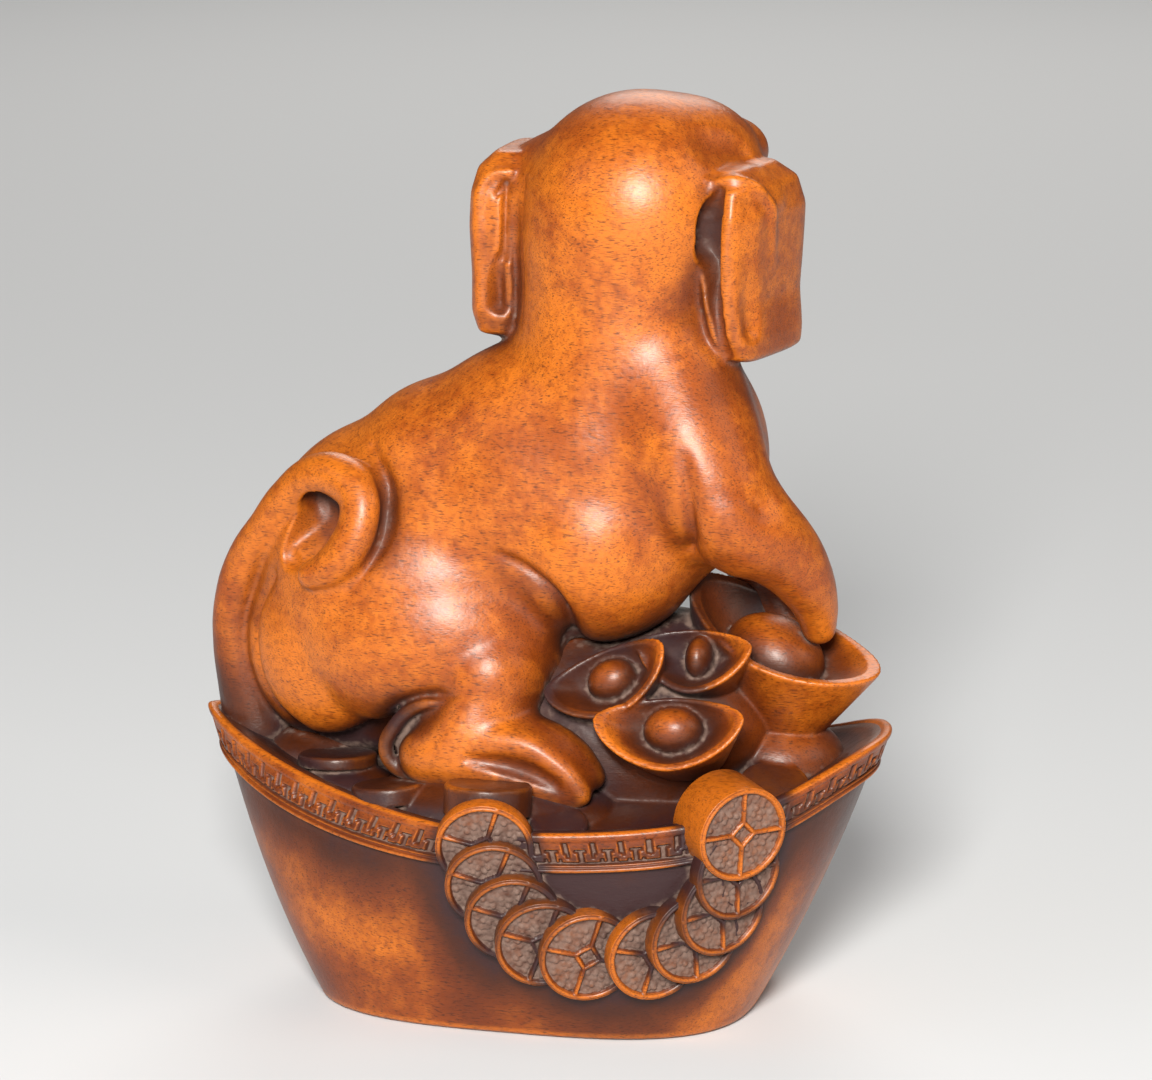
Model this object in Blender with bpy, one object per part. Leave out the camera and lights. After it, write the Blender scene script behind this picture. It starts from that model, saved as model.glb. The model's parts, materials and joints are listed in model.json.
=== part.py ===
"""A carved boxwood puppy lying over an ingot-shaped bowl of treasure, all cut from one block.

The shapes start as balls, cords, boats and discs. A Remesh runs each group together, a Smooth rubs
its seams down, and a Boolean cuts the deep folds. Sizes are in millimetres until the last step.

+X runs along the bowl towards the puppy's chest, the coin swag hangs on the -Y wall, +Z is up, and
the origin is the middle of the foot's underside.
"""

import math
from dataclasses import dataclass

import bmesh
import bpy
from mathutils import Euler, Matrix, Vector
from mathutils.bvhtree import BVHTree

MM = 0.001

# The bowl
BOWL_LENGTH = 75.8
BOWL_WIDTH = 45.6
BOWL_HEIGHT = 23.8
LEFT_TIP_RISE = 4.2
RIGHT_TIP_RISE = 5.6
LEFT_TIP_KICK = 0.8
RIGHT_TIP_KICK = 3.2
RIM_SHIFT = -0.2
FOOT_LENGTH = 47.4
FOOT_WIDTH = 34.2
FOOT_SHIFT = 0.0
WALL_BULGE = 0.8
LIP_THICKNESS = 1.5
BED_DEPTH = 3.2
BAND_HEIGHT = 4.3
BAND_STEP = 0.9
BAND_RECESS = 0.35

# The treasure
BIG_INGOT_LENGTH = 23.2
BIG_INGOT_WIDTH = 14.8
SMALL_INGOT_LENGTH = 15.0
SMALL_INGOT_WIDTH = 10.8
INGOT_DISH = 2.6
COIN_DIAMETER = 10.2
COIN_THICKNESS = 1.9
SWAG_COINS = 10
SWAG_WIDTH = 25.2
SWAG_DROP = 12.6
SWAG_CENTRE = 12.1
COIN_LEAN = 15.0
COIN_STAND = 1.55
DRUM_THICKNESS = 6.0

# The puppy: its own numbers are drawn for this height and scaled from it
DOG_HEIGHT = 74.0
DRAWN_HEIGHT = 74.0
SEAT_ABOVE_RIM = 0.2

# How finely the wood is cut
CELL = 0.5
TRIANGLES = 9400


def lerp(a, b, share):
    return a + (b - a) * share


def evaluated_mesh(piece):
    """The piece as a new mesh with its modifiers applied. The piece itself is removed."""
    bpy.context.scene.collection.objects.link(piece)
    graph = bpy.context.evaluated_depsgraph_get()
    mesh = bpy.data.meshes.new_from_object(piece.evaluated_get(graph))
    bpy.data.objects.remove(piece)
    return mesh


def melt(piece, rubbing):
    """Adds the modifiers that run overlapping shapes into one skin and rub its seams down."""
    remesh = piece.modifiers.new("melt", "REMESH")
    remesh.mode = "VOXEL"
    remesh.voxel_size = CELL
    smooth = piece.modifiers.new("rub down", "SMOOTH")
    smooth.factor = 0.5
    smooth.iterations = rubbing


class Blank:
    """Closed shapes that may overlap, gathered in one mesh."""

    def __init__(self):
        self.shapes = bmesh.new()
        self.cords = bpy.data.curves.new("cords", "CURVE")
        self.cords.dimensions = "3D"
        self.cords.bevel_depth = 1
        self.cords.bevel_resolution = 6
        self.cords.resolution_u = 6
        self.cords.use_fill_caps = True

    def ball(self, centre, radii, turn=(0, 0, 0), power=2.0):
        """A ball with three radii: power 2 is an egg, and more squares its sides."""
        angles = Euler([math.radians(angle) for angle in turn])
        place = Matrix.LocRotScale(Vector(centre), angles, Vector(radii))
        for vert in bmesh.ops.create_icosphere(self.shapes, subdivisions=5, radius=1)["verts"]:
            size = sum(abs(share) ** power for share in vert.co) ** (1 / power)
            vert.co = place @ (vert.co / size)

    def cord(self, *stations):
        """A round limb on a smooth curve through (x, y, z, radius) stations, with rounded ends."""
        spline = self.cords.splines.new("BEZIER")
        spline.bezier_points.add(len(stations) - 1)
        for point, (x, y, z, radius) in zip(spline.bezier_points, stations):
            point.co = (x, y, z)
            point.radius = radius
            point.handle_left_type = "AUTO"
            point.handle_right_type = "AUTO"
        for x, y, z, radius in (stations[0], stations[-1]):
            self.ball((x, y, z), (radius, radius, radius))

    def coin(self, centre, axis, radius, thickness):
        """A round flat disc that looks along an axis."""
        facing = Vector(axis).to_track_quat("Z", "Y").to_matrix().to_4x4()
        bmesh.ops.create_cone(
            self.shapes, cap_ends=True, segments=48, radius1=radius, radius2=radius, depth=thickness,
            matrix=Matrix.Translation(centre) @ facing,
        )

    def loft(self, rings, place=Matrix()):
        """A closed skin through rings of points, capped at both ends."""
        rows = [[self.shapes.verts.new(place @ Vector(point)) for point in ring] for ring in rings]
        for lower, upper in zip(rows, rows[1:]):
            for corners in zip(lower, lower[1:] + lower[:1], upper[1:] + upper[:1], upper):
                self.shapes.faces.new(corners)
        self.shapes.faces.new(reversed(rows[0]))
        self.shapes.faces.new(rows[-1])

    def add(self, mesh, place=Matrix()):
        """A mesh made before, put in its place."""
        mesh.transform(place)
        self.shapes.from_mesh(mesh)

    def mesh(self):
        """All the shapes as one mesh, still overlapping."""
        if self.cords.splines:
            self.add(evaluated_mesh(bpy.data.objects.new("cords", self.cords)))
        mesh = bpy.data.meshes.new("blank")
        self.shapes.to_mesh(mesh)
        self.shapes.free()
        return mesh

    def grown(self, rubbing):
        """All the shapes run together into one skin."""
        piece = bpy.data.objects.new("blank", self.mesh())
        melt(piece, rubbing)
        return evaluated_mesh(piece)


@dataclass
class Boat:
    """A boat-shaped ingot with raised tips and a dished top, measured from its underside.

    The rim climbs evenly by each rise, and the kick lifts the very tips some more. The dish grows
    shallower towards the tips by tip_fill, a share of its depth.
    """

    length: float
    width: float
    height: float
    foot_length: float
    foot_width: float
    rises: tuple
    kicks: tuple
    lip: float
    dish: float
    dish_slope: float = 1.25
    rim_power: float = 1.65
    foot_power: float = 2.0
    saddle: float = 2.0
    foot_shift: float = 0.0
    rim_shift: float = 0.0
    bulge: float = 0.0
    tip_fill: float = 0.0

    def lip_height(self, x):
        """The rim's height along the boat, which climbs to both tips."""
        rise = self.rises[x > 0]
        kick = self.kicks[x > 0]
        share = min(abs(x - self.rim_shift) / self.length * 2, 1.02)
        return self.height + rise * share ** self.saddle + kick * (1 - (1 - share ** 6) ** 2)

    def outline(self, angle, up, inset=0.0):
        """A point (x, y) on the wall at a share of its height, moved inwards by an inset."""
        power = lerp(self.foot_power, self.rim_power, up)
        bulge = 4 * self.bulge * up * (1 - up) - inset
        long = lerp(self.foot_length, self.length, up) / 2 + bulge
        wide = lerp(self.foot_width, self.width, up) / 2 + bulge
        x = long * math.copysign(abs(math.cos(angle)) ** (2 / power), math.cos(angle))
        y = wide * math.copysign(abs(math.sin(angle)) ** (2 / power), math.sin(angle))
        return x + lerp(self.foot_shift, self.rim_shift, up), y

    def lip_over(self, angle):
        """The rim's height at an angle round the boat."""
        return self.lip_height(self.outline(angle, 1)[0])

    def wall_ring(self, angles, up, inset=0.0):
        """A ring of the wall at a share of its height."""
        return [(*self.outline(angle, up, inset), up * self.lip_over(angle)) for angle in angles]

    def band_ring(self, angles, drop, inset):
        """A ring of the wall at a depth below the lip."""
        ring = []
        for angle in angles:
            lip = self.lip_over(angle)
            ring.append((*self.outline(angle, 1 - drop / lip, inset), lip - drop))
        return ring

    def top_ring(self, angles, out):
        """A ring of the dished top, a share of the way out to the lip's outer edge."""
        inner = 1 - 2 * self.lip / self.width
        share = min(max((inner - out) / inner * self.dish_slope, 0), 1)
        depth = self.dish * (1 - (1 - share) ** 2)
        ring = []
        for angle in angles:
            x, y = self.outline(angle, 1)
            x = lerp(self.rim_shift, x, out)
            filled = self.tip_fill * (2 * (x - self.rim_shift) / self.length) ** 2
            ring.append((x, y * out, self.lip_height(x) - depth * (1 - filled)))
        return ring

    def dished(self, angles):
        """The rings of the top, from the lip's inner edge to the middle."""
        inner = 1 - 2 * self.lip / self.width
        outs = [inner * (1 - step / 5 / self.dish_slope) for step in range(6)]
        outs += [share * outs[-1] for share in (0.66, 0.33, 0.02)]
        return [self.top_ring(angles, out) for out in outs]


def around(count):
    """Angles all the way round."""
    return [2 * math.pi * step / count for step in range(count)]


def bowl_boat():
    """The great ingot that holds everything."""
    return Boat(
        BOWL_LENGTH, BOWL_WIDTH, BOWL_HEIGHT, FOOT_LENGTH + 2 * BAND_STEP, FOOT_WIDTH + 2 * BAND_STEP,
        (LEFT_TIP_RISE, RIGHT_TIP_RISE), (LEFT_TIP_KICK, RIGHT_TIP_KICK), LIP_THICKNESS, BED_DEPTH,
        dish_slope=2.4, rim_power=1.58, foot_power=3.0, saddle=2.6, foot_shift=FOOT_SHIFT,
        rim_shift=RIM_SHIFT, bulge=WALL_BULGE, tip_fill=0.6,
    )


def bowl():
    """The bowl, with a beaded band below its lip."""
    boat = bowl_boat()
    angles = around(160)
    wall = [boat.wall_ring(angles, up, BAND_STEP) for up in (0, 0.2, 0.4, 0.6, 0.75)]
    bead = BAND_HEIGHT - 1.1
    profile = [
        (BAND_HEIGHT + 0.4, BAND_STEP), (BAND_HEIGHT, 0.5), (BAND_HEIGHT - 0.3, 0.0), (bead + 0.2, 0.0),
        (bead, BAND_RECESS), (1.3, BAND_RECESS), (1.1, 0.0), (0.35, 0.0), (0.0, 0.3),
    ]
    wall += [boat.band_ring(angles, drop, inset) for drop, inset in profile]
    blank = Blank()
    blank.loft(wall + boat.dished(angles))
    return blank


def ingot_boat(length, width, height, rise=1.4, lip=0.8, rim_power=1.65):
    """A small ingot."""
    dish = INGOT_DISH * width / SMALL_INGOT_WIDTH
    return Boat(
        length, width, height, 0.55 * length, 0.55 * width, (rise, rise), (0, 0), lip, dish,
        rim_power=rim_power,
    )


def ingot(blank, boat, dome, middle, turn, inner):
    """An ingot with a dome of metal standing in it, placed by the middle of its opening.

    It leans outwards, and its side towards the heap is only inner, a share, as wide as the other.
    """
    angles = around(64)
    turning = Euler([math.radians(angle) for angle in turn])
    place = Matrix.LocRotScale(Vector(middle), turning, None) @ Matrix.Translation((0, 0, -boat.height))
    rings = [boat.wall_ring(angles, up) for up in (0, 0.25, 0.5, 0.75, 0.93, 1)]
    rings += boat.dished(angles)
    tucked = [[(x, y * inner if y * turn[0] > 0 else y, z) for x, y, z in ring] for ring in rings]
    blank.loft(tucked, place)
    blank.ball(place @ Vector((0, 0, boat.height - boat.dish + 0.35 * dome[2])), dome, turn)


def treasure(blank):
    """Ingots and loose coins, placed by shares of the bowl's length and width."""
    half_length = BOWL_LENGTH / 2
    half_width = BOWL_WIDTH / 2
    length = SMALL_INGOT_LENGTH
    width = SMALL_INGOT_WIDTH
    big = ingot_boat(BIG_INGOT_LENGTH, BIG_INGOT_WIDTH, 12.0, 1.8, 1.0, 1.85)
    left = ingot_boat(0.95 * length, 0.95 * width, 7.0, 1.2, 0.8, 1.8)
    back = ingot_boat(0.85 * length, width, 7.0, 1.1, 0.8, 1.7)
    front = ingot_boat(1.09 * length, width, 7.5, 1.3, 0.8, 1.75)
    far = ingot_boat(1.04 * length, width, 7.2, 1.3, 0.8, 1.75)
    round_dome = (2.75, 2.2, 2.3)
    tall_dome = (1.5, 2.3, 2.3)
    wide_dome = (3.2, 2.5, 2.7)
    big_dome = (5.6, 4.4, 4.0)
    ingots = [
        (big, big_dome, 0.675, 0.03, 16.4, (9, 22, -12), 1.0),
        (left, round_dome, 0.236, -0.386, 13.9, (46, -25, 6), 0.6),
        (back, tall_dome, 0.474, -0.275, 16.4, (44, -2, -4), 0.5),
        (front, wide_dome, 0.440, -0.555, 10.0, (48, -4, 0), 0.6),
        (far, wide_dome, 0.250, 0.56, 10.6, (-40, 8, 8), 0.7),
        (far, round_dome, 0.500, 0.44, 13.2, (-36, -4, -12), 0.7),
    ]
    for boat, dome, x, y, up, turn, inner in ingots:
        ingot(blank, boat, dome, (x * half_length, y * half_width, BOWL_HEIGHT + up), turn, inner)
    coins = [
        (0.700, -0.30, 1.5, (0.15, -0.35, 1), 0.72, 3.4),
        (-0.560, -0.30, 1.9, (-0.05, 0.12, 1), 0.84, 2.2),
        (-0.530, -0.37, -0.3, (-0.05, 0.05, 1), 0.86, 2.6),
        (-0.350, -0.62, 0.9, (-0.1, 0.1, 1), 0.8, 2.0),
        (-0.040, -0.80, 2.2, (0.0, 0.14, 1), 0.9, 3.3),
        (0.156, -0.76, -0.7, (0.1, -0.3, 1), 0.6, 2.0),
        (-0.520, 0.40, 0.1, (0.1, 0.2, 1), 0.9, 2.4),
        (0.0, 0.72, 0.2, (0.1, 0.35, 1), 0.9, 2.4),
        (0.62, 0.42, -0.3, (0.2, 0.3, 1), 0.9, 2.4),
    ]
    for x, y, up, axis, size, thickness in coins:
        place = (x * half_length, y * half_width, BOWL_HEIGHT + up)
        blank.coin(place, axis, size * COIN_DIAMETER / 2, thickness)
    blank.ball((1.0, 0.5, BOWL_HEIGHT - 3.9), (0.77 * half_length, 0.86 * half_width, 5.3))
    blank.ball((4.0, 1.5, BOWL_HEIGHT + 3.2), (0.56 * half_length, 0.52 * half_width, 13.4))
    blank.ball((13.0, 2.5, BOWL_HEIGHT + 12.5), (9.0, 7.6, 5.8))
    blank.ball((13.0, -1.0, BOWL_HEIGHT + 7.0), (12.0, 9.4, 8.5))
    blank.ball((25.0, 1.5, BOWL_HEIGHT + 2.8), (7.5, 6.5, 5.0))
    blank.ball((-3.0, -10.5, BOWL_HEIGHT - 0.9), (13.5, 8.4, 4.3))


def swag(blank, wall):
    """A string of coins hung in an arc on the near wall, each lying over the one before."""
    lean = math.radians(COIN_LEAN)
    for index in range(SWAG_COINS):
        angle = math.radians(lerp(184, 364, index / (SWAG_COINS - 1)))
        run = math.cos(angle)
        x = SWAG_CENTRE + SWAG_WIDTH / 2 * math.copysign(abs(run) ** 0.75, run)
        z = BOWL_HEIGHT - 0.6 + SWAG_DROP * math.sin(angle)
        place, out = wall.ray_cast((x, -BOWL_WIDTH, z), (0, 1, 0))[:2]
        last = index == SWAG_COINS - 1
        along = Vector((1, 0, 0.8 * min(0, run) - 0.35 * last))
        along = (along - out * along.dot(out)).normalized()
        axis = out * math.cos(lean) + along * math.sin(lean)
        thickness = DRUM_THICKNESS if last else COIN_THICKNESS
        face = place + out * (COIN_STAND + 0.7 * last)
        blank.coin(face - axis * thickness / 2, axis, COIN_DIAMETER / 2, thickness)


def torso():
    """Rump, thighs, barrel, chest, shoulder, neck and skull, which run into each other softly."""
    blank = Blank()
    blank.ball((-16.0, 1.5, 21.6), (15.8, 12.8, 16.4))
    blank.ball((-20.8, 1.0, 13.5), (12.6, 11.5, 13.2))
    blank.ball((0.5, 1.2, 31.7), (20.2, 13.2, 15.9), (0, -28, 0))
    blank.ball((11.8, 1.2, 35.0), (12.2, 12.2, 14.2))
    blank.ball((-9.5, 1.3, 29.0), (13.4, 12.4, 13.8))
    blank.cord(
        (6.5, 1.3, 36.0, 13.0), (8.2, 1.6, 45.0, 11.7), (8.6, 2.0, 51.5, 11.5), (8.9, 2.3, 58.0, 12.0),
    )
    blank.ball((6.4, -1.2, 27.0), (11.6, 12.0, 11.8))
    blank.ball((10.0, 2.5, 61.6), (12.7, 12.7, 12.3))
    blank.ball((13.4, 4.5, 65.4), (9.2, 8.9, 7.9))
    blank.ball((0.8, 5.0, 64.0), (7.6, 6.6, 5.0), (0, -16, 0))
    blank.ball((-13.0, -3.2, 19.0), (15.4, 10.4, 13.2), (0, 5, 0))
    blank.ball((-13.0, 6.0, 19.0), (15.0, 10.4, 13.0), (0, 5, 0))
    blank.cord(
        (13.5, -2.0, 44.0, 8.2), (17.2, -5.2, 37.5, 7.9), (20.4, -6.9, 32.8, 6.8),
        (23.6, -6.5, 29.6, 5.6),
    )
    return blank.grown(90)


def forelegs(blank):
    """The near foreleg reaches over the big ingot, and the far one goes down behind it."""
    blank.cord(
        (17.8, -5.6, 36.5, 6.2), (21.3, -7.3, 32.0, 6.2), (24.1, -6.6, 29.6, 5.2), (26.8, -4.6, 26.8, 4.2),
        (28.7, -2.6, 23.4, 3.3), (29.6, -0.9, 20.2, 2.5), (29.8, 0.0, 17.8, 2.0),
    )
    blank.cord(
        (12.0, 7.0, 42.0, 6.5), (15.5, 10.0, 31.0, 6.0), (19.5, 11.0, 25.0, 4.6), (23.0, 9.5, 19.0, 3.4),
        (25.5, 7.5, 15.5, 2.7),
    )


def hind_leg(blank, side, knee_y, foot_y):
    """A folded hind leg: shank back to the hock, then the long foot with two toes forward."""
    blank.cord(
        (-4.0, knee_y, 12.5, 6.5), (-4.8, knee_y + 2.8 * side, 8.5, 4.6), (-7.0, foot_y, 5.8, 3.8),
        (-9.4, foot_y, 4.6, 3.5),
    )
    # the ridge that runs out to the outer toe
    blank.cord(
        (-5.0, foot_y + 0.6 * side, 6.3, 2.9), (-2.8, foot_y + 1.0 * side, 6.6, 2.6),
        (1.5, foot_y + 1.6 * side, 6.6, 2.0), (3.9, foot_y + 1.9 * side, 5.5, 1.7),
        (6.6, foot_y + 2.2 * side, 3.5, 1.4), (7.8, foot_y + 2.2 * side, 1.9, 1.2),
    )
    # the sole below it
    blank.cord(
        (-9.4, foot_y, 4.6, 3.5), (-2.4, foot_y + 1.2 * side, 4.0, 2.8),
        (1.0, foot_y + 1.6 * side, 3.2, 2.1), (4.3, foot_y + 2.0 * side, 2.0, 1.6),
        (7.0, foot_y + 2.0 * side, 1.2, 1.1),
    )
    # the inner toe
    blank.cord(
        (-3.0, foot_y - 1.4 * side, 7.2, 3.0), (0.5, foot_y - 1.0 * side, 6.8, 2.9),
        (3.8, foot_y - 0.8 * side, 6.1, 2.6), (6.2, foot_y - 0.7 * side, 4.9, 2.2),
        (8.0, foot_y - 0.5 * side, 3.2, 1.7),
    )


def hock_roll(blank, side, foot_y):
    """The thin roll that is left standing round the back of a hock."""
    y = foot_y + 0.2 * side
    blank.ball((-8.9, y - 1.6 * side, 6.0), (5.0, 1.5, 4.6))
    blank.cord(
        (-7.2, y + 0.6 * side, 10.6, 0.7), (-10.6, y + 0.4 * side, 9.9, 0.85), (-13.2, y, 7.4, 0.9),
        (-14.2, y, 5.0, 0.9), (-13.4, y, 3.2, 0.9), (-11.2, y, 2.2, 0.85), (-7.9, y + 0.4 * side, 1.8, 0.8),
    )


def tail(blank):
    """A thick tail that climbs the rump and curls over on its near side."""
    blank.cord(
        (-32.4, 0.3, 3.0, 3.8), (-33.6, -0.4, 8.5, 3.1), (-34.3, -1.0, 13.0, 2.6),
        (-34.0, -1.5, 17.5, 2.4), (-32.4, -2.4, 22.0, 2.3), (-29.5, -4.0, 26.2, 2.2),
        (-26.6, -5.2, 29.9, 2.3), (-22.9, -6.8, 32.7, 2.5), (-19.6, -8.4, 32.9, 2.5),
        (-17.4, -9.8, 31.4, 2.5), (-17.1, -10.8, 28.9, 2.5),
        (-18.3, -11.4, 26.0, 2.5), (-20.4, -11.5, 24.0, 2.2), (-22.4, -11.4, 23.1, 1.6),
    )


def flap(blank, stations, power):
    """A hanging slab with rounded corners.

    Each station is x, y, z, half thickness, half depth and turn in degrees, from the bottom up.
    """
    rings = []
    for x, y, z, thick, deep, turn in stations:
        c, s = math.cos(math.radians(turn)), math.sin(math.radians(turn))
        ring = []
        for angle in around(48):
            t = thick * math.copysign(abs(math.cos(angle)) ** (2 / power), math.cos(angle))
            d = deep * math.copysign(abs(math.sin(angle)) ** (2 / power), math.sin(angle))
            ring.append((x + c * t - s * d, y + s * t + c * d, z))
        rings.append(ring)
    blank.loft(rings)


def right_ear(blank):
    """The ear on the side of the chest: a thick hanging flap, with a lip that curls over its top."""
    flap(
        blank,
        [
            (23.1, 0.9, 46.6, 1.2, 4.5, -16), (22.9, 0.8, 47.2, 2.4, 6.6, -16),
            (22.6, 0.7, 49.0, 2.7, 7.2, -16), (22.1, 0.6, 53.0, 2.8, 7.6, -16),
            (22.1, 0.6, 58.0, 3.1, 7.9, -16), (22.2, 0.5, 62.0, 3.3, 7.8, -16),
            (21.8, 0.4, 65.0, 3.2, 6.8, -16), (21.0, 0.3, 66.8, 2.0, 4.8, -16),
        ],
        4.0,
    )
    blank.ball((20.5, 0.2, 63.6), (5.2, 6.4, 3.9), (0, 22, -12))
    blank.cord(
        (18.4, -6.2, 65.6, 0.6), (21.4, -6.0, 65.6, 0.9), (23.6, -5.6, 64.6, 1.0), (24.6, -5.4, 62.4, 1.0),
        (24.6, -5.0, 58.5, 0.8),
    )


def left_ear(blank):
    """The ear on the side of the tail."""
    flap(
        blank,
        [
            (-4.4, 6.0, 47.0, 1.2, 4.5, -3), (-5.0, 6.1, 47.7, 2.4, 6.8, -3),
            (-5.2, 6.2, 50.0, 2.85, 7.5, -3), (-5.1, 6.3, 54.0, 2.9, 7.7, -3),
            (-5.2, 6.3, 59.0, 3.1, 7.7, -3), (-5.1, 6.2, 62.6, 3.1, 7.3, -3),
            (-4.7, 6.0, 65.2, 2.8, 6.4, -3), (-3.9, 6.0, 66.9, 1.8, 4.8, -3),
        ],
        4.0,
    )
    blank.ball((-2.2, 5.8, 64.0), (5.0, 6.2, 3.3), (0, -22, 4))
    blank.cord(
        (-3.2, -0.6, 64.8, 0.7), (-5.4, -0.8, 64.4, 0.9), (-6.8, -0.9, 62.2, 1.0), (-7.0, -0.9, 57.0, 0.9),
        (-6.8, -0.8, 50.4, 0.8),
    )


def face(blank):
    """The face looks away over the far wall, with heavy brows and a short broad muzzle."""
    blank.ball((11.3, 12.4, 57.2), (7.0, 7.0, 5.6))
    blank.ball((11.3, 12.0, 62.5), (3.4, 5.0, 4.0), (-30, 0, 0))
    blank.ball((7.6, 14.0, 56.6), (4.0, 4.2, 3.8))
    blank.ball((15.2, 13.8, 56.6), (4.0, 4.2, 3.8))
    blank.ball((18.2, 9.4, 67.1), (4.0, 3.7, 3.1), (0, 25, 40))
    blank.ball((5.0, 11.6, 66.8), (4.0, 3.1, 2.6), (0, -12, 10))


def head(blank):
    """The eyes, the nose and the ears."""
    blank.ball((16.0, 12.6, 62.8), (1.5, 1.5, 1.4))
    blank.ball((5.4, 13.3, 62.6), (1.5, 1.5, 1.4))
    blank.ball((11.5, 19.0, 59.4), (2.5, 1.5, 1.7))
    right_ear(blank)
    left_ear(blank)


def dog():
    """The whole puppy, drawn from the seat up."""
    body = Blank()
    body.add(torso())
    face(body)
    forelegs(body)
    body.ball((-11.6, -4.6, 15.8), (15.0, 9.8, 11.6), (0, 5, 0))
    body.ball((-12.0, 7.8, 16.2), (14.6, 9.4, 11.4), (0, 5, 0))
    hind_leg(body, -1, -8.0, -12.2)
    hind_leg(body, 1, 9.0, 12.6)
    whole = Blank()
    whole.add(body.grown(10))
    tail(whole)
    head(whole)
    hock_roll(whole, -1, -12.2)
    hock_roll(whole, 1, 12.6)
    return whole.grown(2)


def folds(skin):
    """Cutters for the folds, each following the skin through (x, z, radius) marks on the near side."""
    blank = Blank()
    thigh_over_belly = [(-2.2, 26.6, 0.4), (1.0, 24.8, 0.8), (3.4, 22.4, 1.0), (4.3, 20.2, 0.9)]
    behind_elbow = [(18.0, 38.0, 0.4), (18.5, 34.0, 0.8), (18.4, 30.0, 1.1), (17.9, 27.4, 1.1)]
    round_curl = [
        (-17.2, 36.2, 0.4), (-14.9, 33.4, 0.6), (-14.3, 30.4, 0.7), (-14.7, 27.2, 0.6),
        (-17.0, 23.4, 0.4),
    ]
    beside_tail = [
        (-28.4, 21.4, 0.5), (-30.6, 17.6, 0.8), (-31.0, 12.6, 0.9), (-29.4, 7.6, 1.0),
        (-26.4, 4.4, 1.2),
    ]
    under_rump = [
        (-25.0, 4.8, 0.8), (-20.5, 5.2, 1.3), (-16.5, 6.8, 1.3), (-12.6, 9.8, 0.9), (-8.0, 11.6, 0.5),
    ]
    right_channel = [
        (20.0, 65.0, 0.6), (19.3, 62.3, 1.0), (19.1, 58.5, 1.1), (19.3, 55.0, 0.9), (20.0, 51.2, 0.6),
    ]
    right_face = [(22.9, 62.0, 0.6), (22.9, 58.0, 0.7), (23.4, 51.0, 1.1)]
    left_hollow = [(-4.0, 63.6, 0.7), (-4.0, 59.0, 0.6), (-4.6, 54.0, 1.0), (-4.6, 51.0, 1.3)]
    near_side = [thigh_over_belly, behind_elbow, round_curl, beside_tail, under_rump]
    near_side += [right_channel, right_face, left_hollow]
    for fold in near_side:
        spots = [skin.ray_cast((x, -40, z), (0, 1, 0))[0] for x, z, _ in fold]
        blank.cord(*[(*spot, radius) for spot, (_, _, radius) in zip(spots, fold)])
    blank.ball((-22.6, -9.4, 28.0), (2.7, 3.0, 2.8))
    mouth = [(6.0, 54.2, 0.6), (9.0, 55.4, 0.7), (11.8, 56.6, 0.7), (14.6, 55.4, 0.7), (17.4, 54.2, 0.6)]
    spots = [skin.ray_cast((x, 40, z), (0, -1, 0))[0] for x, z, _ in mouth]
    blank.cord(*[(*spot, radius) for spot, (_, _, radius) in zip(spots, mouth)])
    return blank.grown(2)


def boxwood():
    """Stained and polished boxwood."""
    material = bpy.data.materials.new("boxwood")
    material.use_nodes = True
    shader = material.node_tree.nodes["Principled BSDF"]
    shader.inputs["Base Color"].default_value = (0.42, 0.13, 0.035, 1)
    shader.inputs["Roughness"].default_value = 0.38
    shader.inputs["Metallic"].default_value = 0
    return material


def tree_of(mesh):
    """The mesh as something that rays can hit."""
    return BVHTree.FromPolygons([v.co for v in mesh.vertices], [p.vertices for p in mesh.polygons])


def figurine(puppy, seat):
    """The bowl, its treasure, the swag and the seated puppy, still overlapping."""
    bowl_mesh = bowl().mesh()
    blank = Blank()
    swag(blank, tree_of(bowl_mesh))
    treasure(blank)
    blank.add(bowl_mesh)
    blank.add(puppy, seat)
    return blank.mesh()


def cut_from(mesh, cutter_mesh):
    """The shapes run together, with the folds cut and softened."""
    cutter = bpy.data.objects.new("fold cutters", cutter_mesh)
    cutter.hide_render = True
    cutter.display_type = "WIRE"
    bpy.context.scene.collection.objects.link(cutter)
    piece = bpy.data.objects.new("blank", mesh)
    melt(piece, 1)
    cut = piece.modifiers.new("cut the folds", "BOOLEAN")
    cut.operation = "DIFFERENCE"
    cut.object = cutter
    melt(piece, 1)
    carved = evaluated_mesh(piece)
    bpy.data.objects.remove(cutter)
    return carved


def main():
    for old in list(bpy.data.objects):
        bpy.data.objects.remove(old)
    seat = Matrix.Translation((0, 0, BOWL_HEIGHT + SEAT_ABOVE_RIM))
    seat @= Matrix.Scale(DOG_HEIGHT / DRAWN_HEIGHT, 4)
    puppy = dog()
    cutters = folds(tree_of(puppy))
    cutters.transform(seat)
    carved = cut_from(figurine(puppy, seat), cutters)
    carved.name = "carved_dog_figurine"
    carved.transform(Matrix.Scale(MM, 4))
    carved.materials.append(boxwood())
    carved.shade_smooth()
    carving = bpy.data.objects.new("carved_dog_figurine", carved)
    bpy.context.scene.collection.objects.link(carving)
    thin = carving.modifiers.new("thin the flats", "DECIMATE")
    thin.ratio = TRIANGLES / (2 * len(carved.polygons))


if __name__ == "__main__":
    main()
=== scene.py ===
"""The looks of a carved boxwood puppy that crouches across an ingot-shaped bowl of treasure.

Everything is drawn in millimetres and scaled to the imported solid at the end. +X runs along the bowl
towards the puppy's chest, the coin swag hangs on the -Y wall, +Z is up, and the origin is the middle
of the foot's underside.
"""

import json
import logging
import math
from collections.abc import Callable, Iterable, Sequence
from dataclasses import dataclass, field
from enum import Enum

import bmesh
import bpy
import numpy as np
from mathutils import Euler, Matrix, Vector
from mathutils.bvhtree import BVHTree

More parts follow.
